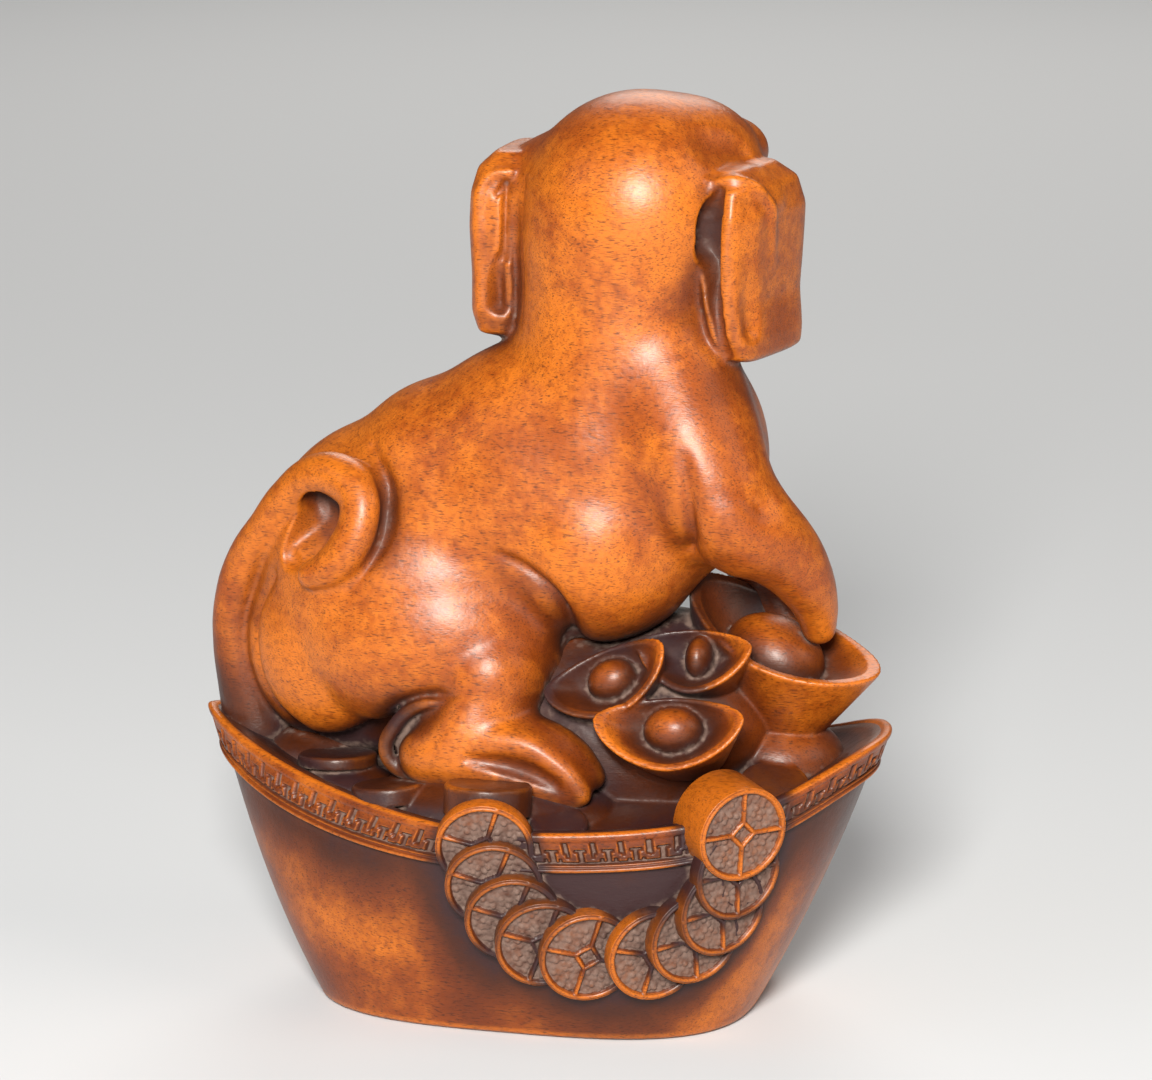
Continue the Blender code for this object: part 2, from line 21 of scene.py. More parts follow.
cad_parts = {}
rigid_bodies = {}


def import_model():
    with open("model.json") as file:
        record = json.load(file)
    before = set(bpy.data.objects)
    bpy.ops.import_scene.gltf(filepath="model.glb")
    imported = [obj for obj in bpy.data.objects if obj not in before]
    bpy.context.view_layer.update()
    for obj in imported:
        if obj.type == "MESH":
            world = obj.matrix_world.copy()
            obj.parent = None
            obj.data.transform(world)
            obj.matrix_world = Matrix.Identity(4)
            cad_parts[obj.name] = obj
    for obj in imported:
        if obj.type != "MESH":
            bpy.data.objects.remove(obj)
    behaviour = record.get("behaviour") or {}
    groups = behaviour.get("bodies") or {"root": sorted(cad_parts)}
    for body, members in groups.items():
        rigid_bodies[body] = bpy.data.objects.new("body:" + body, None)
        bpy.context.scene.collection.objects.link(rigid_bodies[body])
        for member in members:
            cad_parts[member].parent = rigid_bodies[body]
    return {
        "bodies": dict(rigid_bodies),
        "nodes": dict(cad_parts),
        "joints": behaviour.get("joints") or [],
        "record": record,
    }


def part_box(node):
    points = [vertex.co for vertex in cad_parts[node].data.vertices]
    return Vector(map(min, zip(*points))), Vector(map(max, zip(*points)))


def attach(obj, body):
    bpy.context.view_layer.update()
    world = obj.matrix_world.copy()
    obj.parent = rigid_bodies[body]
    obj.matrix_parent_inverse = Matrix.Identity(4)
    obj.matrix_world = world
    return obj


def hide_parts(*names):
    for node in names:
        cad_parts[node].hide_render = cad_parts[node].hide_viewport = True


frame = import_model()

logging.basicConfig(level=logging.INFO, format="%(message)s")
log = logging.getLogger("figurine")

MM = 0.001
NODE = "carved_dog_figurine"
BODY = "root"
DRAWN_HEIGHT = 97.65
MOST_TRIANGLES = 190_000
# How far off a surface still shelters a point, and how deep a hollow counts as full, in millimetres.
SHELTER_REACH = 6.5
FINE_HOLLOW = 0.05
BROAD_HOLLOW = 0.25
# In radians. It turns each ray on from the last, so that they spread evenly.
GOLDEN_ANGLE = 2.399963

Point = tuple[float, float, float]
Station = tuple[float, float, float, float]
Rings = list[list[Point]]


class Side(Enum):
    """The two sides of the puppy: near is -Y, where the camera stands."""

    NEAR = -1
    FAR = 1


class Cut(Enum):
    """How finely a surface is cut: the size of the remesh cell in millimetres."""

    ROUGH = 0.5
    FINE = 0.25
    CRISP = 0.2

    @property
    def cell(self) -> float:
        return self.value


class Edge(Enum):
    """The shape of a gouge's cut across its path."""

    ROUND = "round"
    FOLD = "fold"
    POCKET = "pocket"

    @property
    def width(self) -> float:
        """How far the cut reaches, as a share of the gouge's radius."""
        return 2.6 if self is Edge.FOLD else 1.0

    def profile(self, gap: np.ndarray) -> np.ndarray:
        """Measures the cut.

        Args:
            gap: the distance from the path, as a share of the radius.

        Returns:
            The share of the full depth: a round trough, a sharp valley with soft shoulders, or a pocket
            with steep walls.
        """
        if self is Edge.ROUND:
            return np.clip(1 - gap ** 2, 0, 1) ** 2
        if self is Edge.POCKET:
            return np.clip(1 - gap ** 5, 0, 1)
        return np.clip(1 - gap / self.width, 0, 1) ** 3


class Mark(Enum):
    """What the surface knows about itself at each point, as the materials read it."""

    # how shut in each point is, which the materials turn into painted shade, dirt and dust
    SHELTER = "shelter"
    # how far each point sits in a fine or a broad hollow, which deepens the painted shade
    CREASE = "crease"
    # painted shade that spreads wide round sheltered places and creases
    HALO = "painted_shade"
    RIDGE = "ridge"
    SUNK = "sunk"


def lerp(a: float, b: float, share: float) -> float:
    """The value a share of the way from a to b."""
    return a + (b - a) * share


def around(count: int) -> list[float]:
    """Angles all the way round."""
    return [2 * math.pi * step / count for step in range(count)]


def linear(colour: str) -> tuple[float, float, float, float]:
    """Turns an sRGB hex colour into linear values.

    Args:
        colour: the colour as #RRGGBB.

    Returns:
        The linear red, green and blue, and an alpha of 1.
    """
    shares = [int(colour[start : start + 2], 16) / 255 for start in (1, 3, 5)]
    rgb = [share / 12.92 if share <= 0.04045 else ((share + 0.055) / 1.055) ** 2.4 for share in shares]
    return (*rgb, 1.0)


def evaluated_mesh(piece: bpy.types.Object) -> bpy.types.Mesh:
    """Applies a piece's modifiers.

    Args:
        piece: an object that isn't in the scene yet. It is removed.

    Returns:
        A new mesh with the modifiers applied.
    """
    bpy.context.scene.collection.objects.link(piece)
    graph = bpy.context.evaluated_depsgraph_get()
    mesh = bpy.data.meshes.new_from_object(piece.evaluated_get(graph))
    bpy.data.objects.remove(piece)
    return mesh


def melted(mesh: bpy.types.Mesh, cell: float, rubbing: int) -> bpy.types.Mesh:
    """Runs overlapping shapes into one skin and rubs its seams down.

    Args:
        mesh: the overlapping closed shapes.
        cell: the size of the remesh cell in millimetres.
        rubbing: how many rounds of smoothing follow.

    Returns:
        The new skin.
    """
    piece = bpy.data.objects.new("blank", mesh)
    remesh = piece.modifiers.new("melt", "REMESH")
    remesh.mode = "VOXEL"
    remesh.voxel_size = cell
    smooth = piece.modifiers.new("rub down", "SMOOTH")
    smooth.factor = 0.5
    smooth.iterations = rubbing
    return evaluated_mesh(piece)


def thinned(mesh: bpy.types.Mesh, most: int) -> bpy.types.Mesh:
    """Merges faces where the skin is flat.

    Args:
        mesh: a mesh of four-sided faces.
        most: the number of triangles to keep.

    Returns:
        The mesh itself if it is light enough, or else a lighter one.
    """
    triangles = 2 * len(mesh.polygons)
    if triangles <= most:
        return mesh
    piece = bpy.data.objects.new("blank", mesh)
    thin = piece.modifiers.new("thin the flats", "DECIMATE")
    thin.ratio = most / triangles
    return evaluated_mesh(piece)


class Blank:
    """Closed shapes that may overlap, gathered in one mesh."""

    def __init__(self) -> None:
        """Starts with nothing in it."""
        self.shapes = bmesh.new()
        self.cords = bpy.data.curves.new("cords", "CURVE")
        self.cords.dimensions = "3D"
        self.cords.bevel_depth = 1
        self.cords.bevel_resolution = 6
        self.cords.resolution_u = 8
        self.cords.use_fill_caps = True

    def ball(self, centre: Point, radii: Point, turn: Point = (0, 0, 0), power: float = 2.0) -> None:
        """Adds a ball with three radii.

        Args:
            centre: the middle of the ball.
            radii: the radius along each axis, before it is turned.
            turn: the turn about each axis in degrees.
            power: 2 is an egg, and more squares its sides.
        """
        angles = Euler([math.radians(angle) for angle in turn])
        place = Matrix.LocRotScale(Vector(centre), angles, Vector(radii))
        for vert in bmesh.ops.create_icosphere(self.shapes, subdivisions=5, radius=1)["verts"]:
            size = sum(abs(share) ** power for share in vert.co) ** (1 / power)
            vert.co = place @ (vert.co / size)

    def cord(self, *stations: Station) -> None:
        """Adds a round limb with rounded ends.

        Args:
            stations: the x, y, z and radius at each point of its smooth curve.
        """
        spline = self.cords.splines.new("BEZIER")
        spline.bezier_points.add(len(stations) - 1)
        for point, (x, y, z, radius) in zip(spline.bezier_points, stations):
            point.co = (x, y, z)
            point.radius = radius
            point.handle_left_type = "AUTO"
            point.handle_right_type = "AUTO"
        for x, y, z, radius in (stations[0], stations[-1]):
            self.ball((x, y, z), (radius, radius, radius))

    def coin(self, centre: Point, axis: Point, radius: float, thickness: float) -> None:
        """Adds a round disc with softened edges.

        Args:
            centre: the middle of the disc.
            axis: the way that its face looks.
            radius: its radius.
            thickness: its thickness.
        """
        facing = Vector(axis).to_track_quat("Z", "Y").to_matrix().to_4x4()
        soft = 0.3
        turns = around(96)
        # Shares of the radius and of the thickness, from the middle of the back to the middle of the face.
        profile = [
            (0.02, -0.5), (1.0, -0.5), (1.0, 0.5 - soft / thickness),
            (1 - 0.4 * soft / radius, 0.5 - 0.3 * soft / thickness), (1 - soft / radius, 0.5), (0.02, 0.5),
        ]
        rings = [
            [(radius * out * math.cos(a), radius * out * math.sin(a), thickness * up) for a in turns]
            for out, up in profile
        ]
        self.loft(rings, Matrix.Translation(centre) @ facing)

    def loft(self, rings: Rings, place: Matrix = Matrix(), hoop: bool = False) -> None:
        """Adds a closed skin through rings of points.

        Args:
            rings: the rings from the underside up, each with the same number of points.
            place: where the skin goes.
            hoop: whether the last ring joins the first, instead of a cap at each end.
        """
        rows = [[self.shapes.verts.new(place @ Vector(point)) for point in ring] for ring in rings]
        for lower, upper in zip(rows, rows[1:] + rows[:1] if hoop else rows[1:]):
            for corners in zip(lower, lower[1:] + lower[:1], upper[1:] + upper[:1], upper):
                self.shapes.faces.new(corners)
        if not hoop:
            self.shapes.faces.new(reversed(rows[0]))
            self.shapes.faces.new(rows[-1])

    def add(self, mesh: bpy.types.Mesh, place: Matrix = Matrix()) -> None:
        """Adds a mesh made before, put in its place."""
        mesh.transform(place)
        self.shapes.from_mesh(mesh)

    def mesh(self) -> bpy.types.Mesh:
        """Ends the gathering.

        Returns:
            All the shapes as one mesh, still overlapping.
        """
        if self.cords.splines:
            self.add(evaluated_mesh(bpy.data.objects.new("cords", self.cords)))
        mesh = bpy.data.meshes.new("blank")
        self.shapes.to_mesh(mesh)
        self.shapes.free()
        return mesh

    def grown(self, cut: Cut, rubbing: int) -> bpy.types.Mesh:
        """Runs all the shapes together.

        Args:
            cut: how finely.
            rubbing: how many rounds of smoothing follow at the rough cut. A finer cut takes more.

        Returns:
            The shapes as one skin.
        """
        return melted(self.mesh(), cut.cell, round(rubbing * (Cut.ROUGH.value / cut.cell) ** 2))


def mark_sunk(mesh: bpy.types.Mesh, values: Sequence[float]) -> None:
    """Writes which points lie on the ground of a relief, from 0 to 1."""
    layer = mesh.attributes.new(Mark.SUNK.value, "FLOAT", "POINT")
    layer.data.foreach_set("value", values)


class Skin:
    """A mesh's points, normals and edges as arrays, for carving it and for reading its hollows."""

    def __init__(self, mesh: bpy.types.Mesh) -> None:
        """Reads the mesh.

        Args:
            mesh: the mesh, which carve() changes.
        """
        self.mesh = mesh
        count = len(mesh.vertices)
        ends = np.empty(2 * len(mesh.edges), np.int32)
        mesh.edges.foreach_get("vertices", ends)
        ends = ends.reshape(-1, 2)
        self.here = np.concatenate([ends[:, 0], ends[:, 1]])
        self.there = np.concatenate([ends[:, 1], ends[:, 0]])
        self.neighbours = np.maximum(np.bincount(self.here, minlength=count), 1)
        self.read()

    def read(self) -> None:
        """Takes the points and normals as they now are."""
        count = len(self.mesh.vertices)
        points = np.empty(3 * count, np.float32)
        self.mesh.vertices.foreach_get("co", points)
        self.points = points.reshape(-1, 3).astype(np.float64)
        normals = np.empty(3 * count, np.float32)
        self.mesh.vertex_normals.foreach_get("vector", normals)
        self.normals = normals.reshape(-1, 3).astype(np.float64)

    def write(self, points: np.ndarray) -> None:
        """Moves the mesh's points.

        Args:
            points: a new place for each.
        """
        self.mesh.vertices.foreach_set("co", points.astype(np.float32).ravel())
        self.mesh.update()
        self.read()

    def spread(self, values: np.ndarray, rounds: int) -> np.ndarray:
        """Averages values with their neighbours'.

        Args:
            values: a number or a vector for each point.
            rounds: how many times.

        Returns:
            The averaged values.
        """
        columns = values.reshape(len(values), -1)
        for _ in range(rounds):
            sums = [
                np.bincount(self.here, weights=column[self.there], minlength=len(columns))
                for column in columns.T
            ]
            columns = 0.5 * columns + 0.5 * np.stack(sums, 1) / self.neighbours[:, None]
        return columns.reshape(values.shape)

    def sunk(self, rounds: int) -> np.ndarray:
        """Measures how far each point lies below the rubbed-down skin.

        Args:
            rounds: how far the skin is rubbed down.

        Returns:
            The depth in millimetres, less than nothing on a ridge.
        """
        rubbed = self.spread(self.points, rounds)
        return ((rubbed - self.points) * self.normals).sum(1)

    def tree(self) -> BVHTree:
        """The skin as something that rays can hit."""
        return BVHTree.FromPolygons(self.points.tolist(), [tuple(p.vertices) for p in self.mesh.polygons])


@dataclass(frozen=True)
class Gouge:
    """A groove cut along a smooth path on the skin, or a raised roll where its depth is negative.

    Attributes:
        marks: x, y, z, radius and depth at each point of the path.
        out: the way that the carved surface looks, so that a thin wall's other side stays whole.
        edge: the shape of the cut across its path.
    """

    marks: tuple[tuple[float, ...], ...]
    out: Point = (0, -1, 0)
    edge: Edge = Edge.ROUND

    def path(self) -> np.ndarray:
        """A smooth path through the marks, with the radius and depth along it."""
        marks = np.array(self.marks, float)
        if len(marks) == 1:
            return marks
        padded = np.concatenate([[2 * marks[0] - marks[1]], marks, [2 * marks[-1] - marks[-2]]])
        steps = np.linspace(0, 1, 16, endpoint=False)[:, None]
        parts = []
        for a, b, c, d in zip(padded, padded[1:], padded[2:], padded[3:]):
            bend = (2 * a - 5 * b + 4 * c - d) * steps ** 2 + (3 * b - a - 3 * c + d) * steps ** 3
            parts.append(0.5 * (2 * b + (c - a) * steps + bend))
        return np.concatenate([*parts, marks[-1:]])

    def cut(self, skin: Skin) -> None:
        """Carves the skin.

        Args:
            skin: the skin, whose mesh is changed.
        """
        path = self.path()
        reach = path[:, 3].max() * self.edge.width
        low = path[:, :3].min(0) - reach
        high = path[:, :3].max(0) + reach
        inside = ((skin.points > low) & (skin.points < high)).all(1)
        near = np.flatnonzero(inside & (skin.normals @ np.array(self.out) > -0.1))
        if not len(near):
            return
        gaps = np.linalg.norm(skin.points[near][:, None] - path[None, :, :3], axis=2) / path[None, :, 3]
        nearest = gaps.argmin(1)
        gap = gaps[np.arange(len(near)), nearest]
        depth = path[nearest, 4] * self.edge.profile(gap)
        points = skin.points.copy()
        points[near] -= skin.normals[near] * depth[:, None]
        skin.write(points)


@dataclass
class Boat:
    """A boat-shaped ingot with raised tips and a dished top, measured from its underside.

    The rim climbs evenly by each rise, and the kick lifts the very tips some more. The dish grows
    shallower towards the tips by tip_fill, a share of its depth. The rim's power is more than rim_power
    by blunt at the right tip, which squares it, and less by as much at the left one.
    """

    length: float
    width: float
    height: float
    foot_length: float
    foot_width: float
    rises: tuple[float, float]
    kicks: tuple[float, float]
    lip: float
    dish: float
    dish_slope: float = 1.25
    rim_power: float = 1.65
    foot_power: float = 2.0
    saddle: float = 2.0
    foot_shift: float = 0.0
    rim_shift: float = 0.0
    bulge: float = 0.0
    tip_fill: float = 0.0
    blunt: float = 0.0

    def lip_height(self, x: float) -> float:
        """The rim's height along the boat, which climbs to both tips."""
        rise = self.rises[x > 0]
        kick = self.kicks[x > 0]
        just_past_tip = 1.02
        share = min(abs(x - self.rim_shift) / self.length * 2, just_past_tip)
        return self.height + rise * share ** self.saddle + kick * (1 - (1 - share ** 6) ** 2)

    def outline(self, angle: float, up: float, inset: float = 0.0) -> tuple[float, float]:
        """Finds a point on the wall.

        Args:
            angle: the angle round the boat.
            up: the share of the wall's height.
            inset: how far the point is moved inwards.

        Returns:
            Its x and y.
        """
        power = lerp(self.foot_power, self.rim_power + self.blunt * math.tanh(3 * math.cos(angle)), up)
        bulge = 4 * self.bulge * up * (1 - up) - inset
        long = lerp(self.foot_length, self.length, up) / 2 + bulge
        wide = lerp(self.foot_width, self.width, up) / 2 + bulge
        x = long * math.copysign(abs(math.cos(angle)) ** (2 / power), math.cos(angle))
        y = wide * math.copysign(abs(math.sin(angle)) ** (2 / power), math.sin(angle))
        return x + lerp(self.foot_shift, self.rim_shift, up), y

    def lip_over(self, angle: float) -> float:
        """The rim's height at an angle round the boat."""
        return self.lip_height(self.outline(angle, 1)[0])

    def even_angles(self, count: int) -> list[float]:
        """Finds angles at even steps along the rim.

        Args:
            count: how many.

        Returns:
            The angles, from the right tip round by the far side.
        """
        fine = around(8 * count) + [2 * math.pi]
        rim = np.array([self.outline(angle, 1) for angle in fine])
        run = np.concatenate([[0], np.cumsum(np.linalg.norm(np.diff(rim, axis=0), axis=1))])
        return np.interp(np.arange(count) * run[-1] / count, run, fine).tolist()

    def wall_ring(self, angles: Sequence[float], up: float, inset: float = 0.0) -> list[Point]:
        """A ring of the wall at a share of its height."""
        return [(*self.outline(angle, up, inset), up * self.lip_over(angle)) for angle in angles]

    def band_ring(self, angles: Sequence[float], drop: float, insets: Iterable[float]) -> list[Point]:
        """Finds a ring of the wall at a depth below the lip.

        Args:
            angles: the angles round the boat.
            drop: the depth below the lip.
            insets: how far each point is moved inwards.

        Returns:
            The ring.
        """
        ring = []
        for angle, inset in zip(angles, insets):
            lip = self.lip_over(angle)
            ring.append((*self.outline(angle, 1 - drop / lip, inset), lip - drop))
        return ring

    def top_ring(self, angles: Sequence[float], out: float) -> list[Point]:
        """A ring of the dished top, a share of the way out to the lip's outer edge."""
        inner = 1 - 2 * self.lip / self.width
        share = min(max((inner - out) / inner * self.dish_slope, 0), 1)
        depth = self.dish * (1 - (1 - share) ** 2)
        ring = []
        for angle in angles:
            x, y = self.outline(angle, 1)
            x = lerp(self.rim_shift, x, out)
            filled = self.tip_fill * (2 * (x - self.rim_shift) / self.length) ** 2
            ring.append((x, y * out, self.lip_height(x) - depth * (1 - filled)))
        return ring

    def dished(self, angles: Sequence[float], steps: int = 8) -> Rings:
        """The rings of the top, from the lip's inner edge to the middle."""
        inner = 1 - 2 * self.lip / self.width
        outs = [inner * (1 - step / steps / self.dish_slope) for step in range(steps + 1)]
        outs += [share * outs[-1] for share in (0.8, 0.6, 0.4, 0.2, 0.02)]
        return [self.top_ring(angles, out) for out in outs]


@dataclass
class Bowl:
    """The great ingot that holds everything, with a fret band between two beads under its lip."""

    length: float = 75.8
    width: float = 45.6
    height: float = 23.8
    tip_rises: tuple[float, float] = (4.8, 3.1)
    tip_kicks: tuple[float, float] = (0.4, 3.9)
    rim_shift: float = -0.2
    foot_length: float = 47.4
    foot_width: float = 34.2
    foot_shift: float = 0.0
    wall_bulge: float = 0.8
    lip: float = 1.5
    bed_depth: float = 3.2
    band_height: float = 4.3
    band_step: float = 0.9
    band_recess: float = 0.35
    bead: float = 0.9
    lower_bead: float = 0.62
    groove: float = 0.12
    fret_pitch: float = 3.0
    bar_width: float = 0.6
    fret_depth: float = 0.5
    boat: Boat = field(init=False)

    def __post_init__(self) -> None:
        """Works the boat out from the sizes."""
        self.boat = Boat(
            self.length, self.width, self.height, self.foot_length + 2 * self.band_step,
            self.foot_width + 2 * self.band_step, self.tip_rises, self.tip_kicks, self.lip, self.bed_depth,
            dish_slope=2.4, rim_power=1.66, foot_power=3.0, saddle=1.9, foot_shift=self.foot_shift,
            rim_shift=self.rim_shift, bulge=self.wall_bulge, tip_fill=0.6, blunt=0.29,
        )

    def build_body(self) -> bpy.types.Mesh:
        """Builds the wall, the lip and the bed.

        Returns:
            The bowl without its band's relief.
        """
        boat = self.boat
        angles = boat.even_angles(640)
        step = self.band_step
        count = len(angles)
        behind = self.band_recess + 0.35
        # The share of the wall's height and the inset: the foot's softened edge, then the wall.
        lower = [(0.0, step + 0.25), (0.004, step + 0.1)]
        lower += [(up, step) for up in np.linspace(0.012, 0.78, 36)]
        # The depth below the lip and the inset: under the band, behind it, and the lip's softened edge.
        upper = [(self.band_height + 0.5, step), (self.band_height - 0.6, behind), (1.0, behind)]
        upper += [(0.25, 0.4), (0.06, 0.65)]
        wall = [boat.wall_ring(angles, up, inset) for up, inset in lower]
        wall += [boat.band_ring(angles, drop, [inset] * count) for drop, inset in upper]
        blank = Blank()
        blank.loft(wall + boat.dished(angles, 24))
        return blank.mesh()

    def slot_depth(self, run: float, drop: float) -> float:
        """Finds how deep the fret is cut at a point of the band.

        Args:
            run: the distance along the rim from the middle of the near side.
            drop: the depth below the lip.

        Returns:
            0 on a bar's face and 1 at the bottom of a slot.
        """
        top = self.bead + 0.06
        bottom = self.band_height - 1.15
        hanging_bar = 1.25
        standing_bar = 1.05
        cross_bar = 0.95
        notch_height = 0.55
        seam_width = 0.22
        place = (run / self.fret_pitch + 0.5) % 1 - 0.5
        half = 0.5 * self.bar_width / self.fret_pitch
        # Each key differs a little in length, as cut by hand.
        wander = 0.5 + 0.5 * math.sin(2.3 * round(run / self.fret_pitch) + 1.0)
        hanging = abs(abs(place) - 0.5) < half and drop < top + hanging_bar + 0.4 * wander
        standing = abs(place) < half and drop > bottom - standing_bar - 0.35 * wander
        cross = abs(place) < 2.2 * half and abs(drop - (top + cross_bar)) < 0.16
        notch = abs(abs(place) - 0.25) < 0.7 * half and drop > bottom - notch_height * (1 - wander)
        seam = bottom < drop < bottom + seam_width
        inside = top < drop < bottom + 0.01
        return 1.0 if seam or (inside and (hanging or standing or cross or notch)) else 0.0

    def face_inset(self, drop: float) -> float:
        """Finds how far the band's face lies inside the wall's line.

        Args:
            drop: the depth below the lip.

        Returns:
            The inset of the upper bead, the plain face, the groove below it or the lower bead.
        """
        if drop < self.bead:
            middle = self.bead * 0.55
            return 0.30 * min((abs(drop - middle) / middle) ** 3, 1.2)
        if drop > self.band_height - self.lower_bead:
            half = 0.3
            return 0.02 + 0.4 * (abs(drop - (self.band_height - half)) / half) ** 3
        if drop > self.band_height - self.lower_bead - self.groove:
            return 0.32
        return 0.16

    def build_band(self) -> bpy.types.Mesh:
        """Builds the band with its beads and its fret.

        Returns:
            A closed strip that stands in front of the wall.
        """
        boat = self.boat
        count = 1640
        angles = boat.even_angles(count)
        rim = np.array([boat.outline(angle, 1) for angle in angles])
        run = np.cumsum(np.linalg.norm(np.diff(rim, axis=0, append=rim[:1]), axis=1))
        front = int(np.argmin(rim[:, 1] + 1e-4 * np.abs(rim[:, 0])))
        run = run - run[front]
        rows = np.linspace(0.0, self.band_height, 46)
        relief = np.array([[self.slot_depth(s, drop) for s in run] for drop in rows])
        soft = relief.copy()
        soft[1:-1] = 0.25 * relief[:-2] + 0.5 * relief[1:-1] + 0.25 * relief[2:]
        soft = 0.25 * np.roll(soft, 1, 1) + 0.5 * soft + 0.25 * np.roll(soft, -1, 1)
        rings = [boat.band_ring(angles, self.band_height + 0.1, [self.band_step + 0.3] * count)]
        for drop, cut in zip(rows[::-1], soft[::-1]):
            rings.append(boat.band_ring(angles, drop, self.face_inset(drop) + self.fret_depth * cut))
        # The depth below the lip and the inset of the hidden back, from the lip down.
        back = ((0.0, 0.7), (0.2, 1.2), (self.band_height - 0.2, self.band_step + 0.6))
        rings += [boat.band_ring(angles, drop, [inset] * count) for drop, inset in back]
        blank = Blank()
        blank.loft(rings, hoop=True)
        mesh = blank.mesh()
        plain = [0.0] * count
        mark_sunk(mesh, plain + soft[::-1].ravel().tolist() + len(back) * plain)
        return mesh


@dataclass
class Treasure:
    """The ingots and loose coins heaped in the bowl, placed by shares of its length and width."""

    bowl: Bowl
    dish: float = 0.24
    coin_diameter: float = 10.2

    def ingot_boat(
        self, length: float, width: float, height: float, rise: float, lip: float, power: float
    ) -> Boat:
        """An ingot's shape, with a dish whose depth is a share of its width."""
        return Boat(
            length, width, height, 0.55 * length, 0.55 * width, (rise, rise), (0, 0), lip, self.dish * width,
            rim_power=power,
        )

    def ingot(
        self, blank: Blank, boat: Boat, dome: Point, middle: Point, turn: Point, inner: float
    ) -> None:
        """Adds an ingot with a dome of metal standing in it.

        Args:
            blank: what it is added to.
            boat: its shape.
            dome: the dome's three radii.
            middle: the middle of its opening.
            turn: its turn about each axis in degrees. It leans outwards about x.
            inner: how wide its side towards the heap is, as a share of its outer side.
        """
        angles = boat.even_angles(160)
        turning = Euler([math.radians(angle) for angle in turn])
        place = Matrix.LocRotScale(Vector(middle), turning, None) @ Matrix.Translation((0, 0, -boat.height))
        rings = [boat.wall_ring(angles, up) for up in (0, 0.12, 0.25, 0.37, 0.5, 0.62, 0.75, 0.86, 0.93)]
        # The lip's softened outer edge.
        rings += [boat.wall_ring(angles, up, inset) for up, inset in ((0.985, 0.04), (1.0, 0.22))]
        rings += boat.dished(angles, 12)
        tucked = [[(x, y * inner if y * turn[0] > 0 else y, z) for x, y, z in ring] for ring in rings]
        blank.loft(tucked, place)
        blank.ball(place @ Vector((0, 0, boat.height - boat.dish + 0.35 * dome[2])), dome, turn)

    def build(self) -> bpy.types.Mesh:
        """Builds the heap.

        Returns:
            The heap as one skin.
        """
        blank = Blank()
        half_length = self.bowl.length / 2
        half_width = self.bowl.width / 2
        rim = self.bowl.height
        big = self.ingot_boat(23.2, 14.8, 12.0, 1.8, 1.0, 1.85)
        left = self.ingot_boat(14.2, 10.2, 7.0, 1.2, 0.8, 1.8)
        back = self.ingot_boat(12.8, 10.6, 7.0, 1.1, 0.8, 1.7)
        front = self.ingot_boat(16.4, 10.8, 7.5, 1.3, 0.8, 1.75)
        far = self.ingot_boat(15.6, 10.8, 7.2, 1.3, 0.8, 1.75)
        round_dome = (2.75, 2.2, 2.3)
        tall_dome = (1.5, 2.3, 2.3)
        wide_dome = (3.2, 2.5, 2.7)
        big_dome = (5.6, 4.4, 4.0)
        # Shape, dome, x and y as shares, height above the rim, turn and inner side.
        ingots = [
            (big, big_dome, 0.675, 0.03, 16.4, (9, 22, -12), 1.0),
            (left, round_dome, 0.236, -0.386, 13.9, (46, -25, 6), 0.6),
            (back, tall_dome, 0.474, -0.275, 16.4, (44, -2, -4), 0.5),
            (front, wide_dome, 0.440, -0.555, 10.0, (48, -4, 0), 0.6),
            (far, wide_dome, 0.250, 0.56, 10.6, (-40, 8, 8), 0.7),
            (far, round_dome, 0.500, 0.44, 13.2, (-36, -4, -12), 0.7),
        ]
        for boat, dome, x, y, up, turn, inner in ingots:
            self.ingot(blank, boat, dome, (x * half_length, y * half_width, rim + up), turn, inner)
        # x and y as shares, height above the rim, the way the face looks, size and thickness.
        coins = [
            (0.700, -0.30, 1.5, (0.15, -0.35, 1), 0.72, 3.4),
            (-0.560, -0.30, 1.9, (-0.05, 0.12, 1), 0.84, 1.3),
            (-0.350, -0.62, 0.9, (-0.1, 0.1, 1), 0.8, 2.0),
            (-0.040, -0.80, 2.2, (0.0, 0.14, 1), 0.9, 3.3),
            (0.156, -0.76, -0.7, (0.1, -0.3, 1), 0.6, 2.0),
            (-0.520, 0.40, 0.1, (0.1, 0.2, 1), 0.9, 2.4),
            (0.0, 0.72, 0.2, (0.1, 0.35, 1), 0.9, 2.4),
            (0.62, 0.42, -0.3, (0.2, 0.3, 1), 0.9, 2.4),
        ]
        for x, y, up, axis, size, thickness in coins:
            middle = (x * half_length, y * half_width, rim + up)
            blank.coin(middle, axis, size * self.coin_diameter / 2, thickness)
        # The mound that carries them: x, y and height above the rim, and three radii.
        mound = [
            (1.0, 0.5, -3.9, (0.77 * half_length, 0.86 * half_width, 5.3)),
            (4.0, 1.5, 3.2, (0.56 * half_length, 0.52 * half_width, 13.4)),
            (13.0, 2.5, 12.5, (9.0, 7.6, 5.8)),
            (13.0, -1.0, 7.0, (12.0, 9.4, 8.5)),
            (25.0, 1.5, 2.8, (7.5, 6.5, 5.0)),
            (-3.0, -10.5, -0.9, (13.5, 8.4, 4.3)),
            (-20.5, -7.6, -1.4, (6.4, 5.4, 3.1)),
            (-25.5, 1.5, 0.4, (6.5, 7.5, 3.4)),
        ]
        for x, y, up, radii in mound:
            blank.ball((x, y, rim + up), radii)
        return thinned(blank.grown(Cut.CRISP, 0.3), MOST_TRIANGLES)


